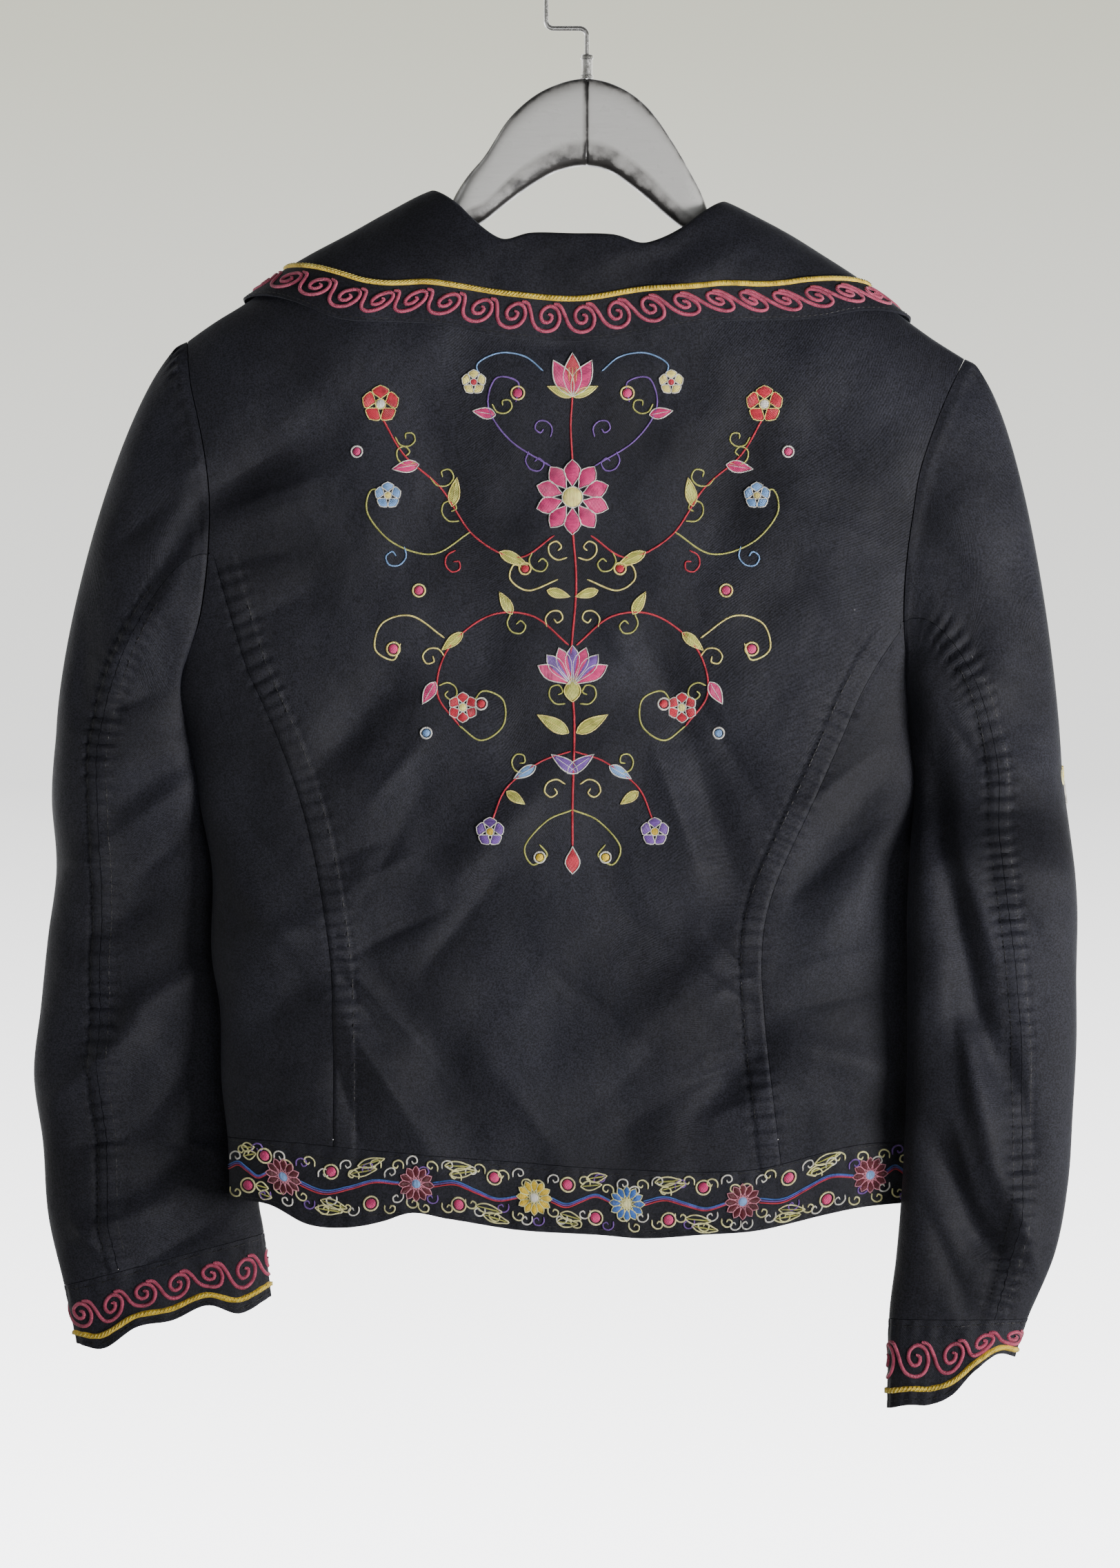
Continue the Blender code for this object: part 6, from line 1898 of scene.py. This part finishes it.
def sleeve_outer_map(side):
    """Maps (distance across, height) onto the outer side of a sleeve."""
    table = {"left": SLEEVE_LEFT, "right": SLEEVE_RIGHT}[side]
    heights = column(table, "z_out")

    def point(a, z):
        row = 1 + np.interp(-z, -heights, np.arange(len(heights)))
        return sleeve(side, (-SIGN[side] * a * DEGREES_PER_MM) % 360, row)
    return mapper(point)


def sleeve_spray():
    """A small spray on the outer side of the right sleeve, which the photograph only grazes."""
    work = Embroidery("sleeve_right", sleeve_outer_map("right"))
    x, z = SLEEVE_SPRAY
    flower(work, x, z, 9.0, 8, "white", "yellow", "lilac")
    for turn, colour in ((70, "lilac"), (110, "yellow"), (250, "lilac"), (290, "yellow")):
        across, up = math.cos(math.radians(turn)), math.sin(math.radians(turn))
        leaf(work, x + 11 * across, z + 11 * up, turn, 13, 5, colour, "white")
    for turn, flip in ((150, 1), (210, -1), (30, -1), (330, 1)):
        across, up = math.cos(math.radians(turn)), math.sin(math.radians(turn))
        curl(work, x + 10 * across, z + 10 * up, turn, 9, flip, "cream")
    work.finish()


def build_embroidery():
    at, low, high = collar_map()
    work = Embroidery("collar", at)
    scroll_row(work, low + 22, high - 22, COLLAR_SCROLL, "rose")
    cord(work, low + 20, high - 20, COLLAR_CORD)
    work.finish()
    for side in SIGN:
        at, length = cuff_map(side)
        work = Embroidery("cuff_" + side, at)
        scroll_row(work, 0, length, (CUFF_SCROLL, 0), "rose")
        cord(work, 0, length, (CUFF_CORD, 0), 3.2)
        work.finish()
    for face, spans in BAND_REACH.items():
        for start, end in spans:
            hem_vine(face, start, end)
    back_bouquet()
    sleeve_spray()


# Sewing
STITCH_LENGTH = 2.3
STITCH_PITCH = 3.2
STITCH_WIDTH = 0.55
COLLAR_STITCH = 2.0
STITCHED_EDGE = 3.2             # from an edge of a band or a cuff


def stitches(work, path):
    """A row of short stitches along a path."""
    path = np.asarray(path, float)
    point, normal = work.at(path[:, 0], path[:, 1])
    run = np.concatenate([[0], np.cumsum(np.linalg.norm(np.diff(point, axis=0), axis=-1))])
    starts = np.arange(1.0, run[-1] - STITCH_LENGTH - 1.0, STITCH_PITCH)
    spots = starts[:, None] + np.array([0, 0.5, 1.0]) * STITCH_LENGTH
    places = np.stack([np.interp(spots, run, point[:, i]) for i in range(3)], axis=-1)
    normals = unit(np.stack([np.interp(spots, run, normal[:, i]) for i in range(3)], axis=-1))
    along = unit(places[:, 2] - places[:, 0])[:, None]
    aside = unit(np.cross(along, normals))
    across = np.array([-1.0, 0.0, 1.0])[:, None]
    rise = np.array([[-0.1, 0.05, -0.1], [0.0, 0.42, 0.0], [-0.1, 0.05, -0.1]])[..., None]
    points = places[:, :, None] + aside[:, :, None] * across * STITCH_WIDTH / 2 + normals[:, :, None] * rise
    faces = np.concatenate([quads(3, 3, False) + 9 * i for i in range(len(starts))])
    flat = np.zeros((points.size // 3, 2))
    work.keep("black", points.reshape(-1, 3), faces, flat)


def sleeve_band_map(side):
    """Maps (distance from the back seam, height) onto the back of a sleeve."""
    line = np.array(SLEEVE_LINES[side])
    z_at = line[::-1, 1]
    x_at = line[::-1, 0]
    rows = np.linspace(0, CUFF_RING + 1, len(line))[::-1]

    def point(a, z):
        row = np.interp(z, z_at, rows)
        turn = sleeve_seam_at[side](row)
        near, far = plain_sleeve(side, turn - 4, row), plain_sleeve(side, turn + 4, row)
        per_degree = np.linalg.norm(far - near, axis=-1) / 8
        shift = -SIGN[side] * a / per_degree
        return sleeve(side, turn + shift, row)
    return mapper(point), x_at


def build_sewing():
    work = Embroidery("seams_back", torso_map("back"))
    for side, line in SEAM_LINES.items():
        line = np.array(line)
        reach = BODY_BAND[1] - 0.6
        path = [(x - SIGN[side] * reach, z) for x, z in line if z > -650 and z < line[0, 1] - 14]
        stitches(work, path)
    work.finish()
    work = Embroidery("seams_collar", collar_map()[0])
    _, low, high = collar_map()
    s = np.arange(low + 8, high - 8, 1.5)
    stitches(work, np.stack([s, 0 * s + COLLAR_STITCH], axis=-1))
    work.finish()
    for face, spans in BAND_REACH.items():
        work = Embroidery("seams_hem_" + face, band_map(face))
        for start, end in spans:
            x = np.arange(start, end, 1.5)
            for height in (15.6, -15.2):
                stitches(work, np.stack([x, 0 * x + height], axis=-1))
        work.finish()
    for side in SIGN:
        at, length = cuff_map(side)
        work = Embroidery("seams_cuff_" + side, at)
        s = np.arange(0, length, 1.5)
        for height in (2.6, CUFF_HEIGHT - STITCHED_EDGE):
            stitches(work, np.stack([s, 0 * s + height], axis=-1))
        work.finish()
        at, _ = sleeve_band_map(side)
        work = Embroidery("seams_sleeve_" + side, at)
        line = np.array(SLEEVE_LINES[side])
        z = np.arange(line[0, 1] - 22, line[-1, 1] + 8, -1.5)
        for reach in (SLEEVE_BAND[0] + 0.7, SLEEVE_BAND[1] - 0.7):
            stitches(work, np.stack([0 * z + reach, z], axis=-1))
        work.finish()




# Camera, light and floor
CAMERA_DISTANCE = 4000.0
VIEW_HEIGHT = 864.1             # of the photograph's frame at the blazer
VIEW_CENTRE = (-14.8, -457.9)
FLOOR_HEIGHT = -1.05
FLOOR_SIZE = 2.8
MIDDLE = (0, 0, -0.45)          # where the lights aim
# The world is a pale wall: brighter low down, dimmer overhead
WORLD_HEIGHTS = ((0.0, (2.2, 2.2, 2.25)), (0.40, (3.0, 3.0, 3.0)), (0.447, (5.5, 5.5, 5.6)),
                 (0.50, (1.7, 1.7, 1.68)), (0.553, (0.97, 0.97, 0.80)), (0.70, (0.40, 0.40, 0.38)),
                 (1.0, (0.25, 0.25, 0.25)))
WORLD_BEHIND = ((0.0, (0.14,) * 3), (0.45, (0.24,) * 3), (0.56, (1.0,) * 3))
LIGHTS = (
    ("name", "place", "size", "power", "spread", "colour"),
    ("key", (1.35, -1.15, -1.0), (0.7, 0.7), 11, 60, (1.0, 0.98, 0.97)),
    ("fill", (0.7, -2.2, -1.1), (1.2, 1.2), 1.5, 60, (0.94, 0.96, 1.0)),
    ("rim", (-1.3, 0.5, 0.5), (0.8, 0.8), 0.6, 60, (1.0, 1.0, 1.0)),
    ("behind", (0.4, 1.7, 0.3), (1.4, 1.4), 3.5, 90, (1.0, 1.0, 1.0)),
)


def add_camera():
    data = bpy.data.cameras.new("view")
    camera = bpy.data.objects.new("view", data)
    bpy.context.scene.collection.objects.link(camera)
    camera.location = (VIEW_CENTRE[0] * MM, -CAMERA_DISTANCE * MM, VIEW_CENTRE[1] * MM)
    camera.rotation_euler = (math.radians(90), 0, 0)
    data.sensor_fit = "AUTO"
    data.sensor_width = 36.0
    data.lens = data.sensor_width * CAMERA_DISTANCE / VIEW_HEIGHT
    bpy.context.scene.camera = camera


def add_light(name, place, size, power, spread, colour):
    data = bpy.data.lights.new(name, "AREA")
    data.shape = "RECTANGLE"
    data.size, data.size_y = size
    data.energy = power
    data.spread = math.radians(spread)
    data.color = colour
    lamp = bpy.data.objects.new(name, data)
    bpy.context.scene.collection.objects.link(lamp)
    lamp.location = place
    lamp.rotation_euler = (Vector(MIDDLE) - Vector(place)).to_track_quat("-Z", "Y").to_euler()


def add_world():
    """A pale surrounding that is brighter low down, as the wall of the photograph is."""
    world = bpy.data.worlds.new("pale")
    world.use_nodes = True
    nodes, links = world.node_tree.nodes, world.node_tree.links
    axes = nodes.new("ShaderNodeSeparateXYZ")
    links.new(nodes.new("ShaderNodeTexCoord").outputs["Generated"], axes.inputs["Vector"])
    shares = []
    for axis, stops in (("Z", WORLD_HEIGHTS), ("Y", WORLD_BEHIND)):
        share = nodes.new("ShaderNodeMapRange")
        share.inputs["From Min"].default_value = -1.0
        links.new(axes.outputs[axis], share.inputs["Value"])
        shares.append(ramp_of(nodes, links, share.outputs["Result"], stops))
    both = nodes.new("ShaderNodeMix")
    both.data_type = "RGBA"
    both.blend_type = "MULTIPLY"
    both.inputs["Factor"].default_value = 1.0
    links.new(shares[0].outputs["Color"], both.inputs["A"])
    links.new(shares[1].outputs["Color"], both.inputs["B"])
    links.new(both.outputs["Result"], nodes["Background"].inputs["Color"])
    bpy.context.scene.world = world


def add_stage():
    add_world()
    bpy.ops.mesh.primitive_plane_add(size=FLOOR_SIZE, location=(0, 0, FLOOR_HEIGHT))
    floor = bpy.context.object
    floor.name = "floor"
    made, nodes, links, shader = shader_of("pale_floor", (0.62, 0.61, 0.59), 0.85)
    grain = noise_of(nodes, links, nodes.new("ShaderNodeTexCoord").outputs["Object"], 30.0)
    tone = ramp_of(nodes, links, grain.outputs["Fac"], [(0.3, (0.60, 0.59, 0.57)), (0.7, (0.64, 0.63, 0.61))])
    links.new(tone.outputs["Color"], shader.inputs["Base Color"])
    floor.data.materials.append(made)
    for row in LIGHTS[1:]:
        add_light(*row)


def main():
    add_camera()
    add_stage()
    build_back()
    for side in SIGN:
        build_side_back(side)
        build_front(side)
        build_sleeve(side)
        build_cuff(side)
    build_bands()
    build_collar()
    build_hanger()
    build_hook()
    build_ferrule()
    build_buttons()
    build_embroidery()
    build_sewing()


main()
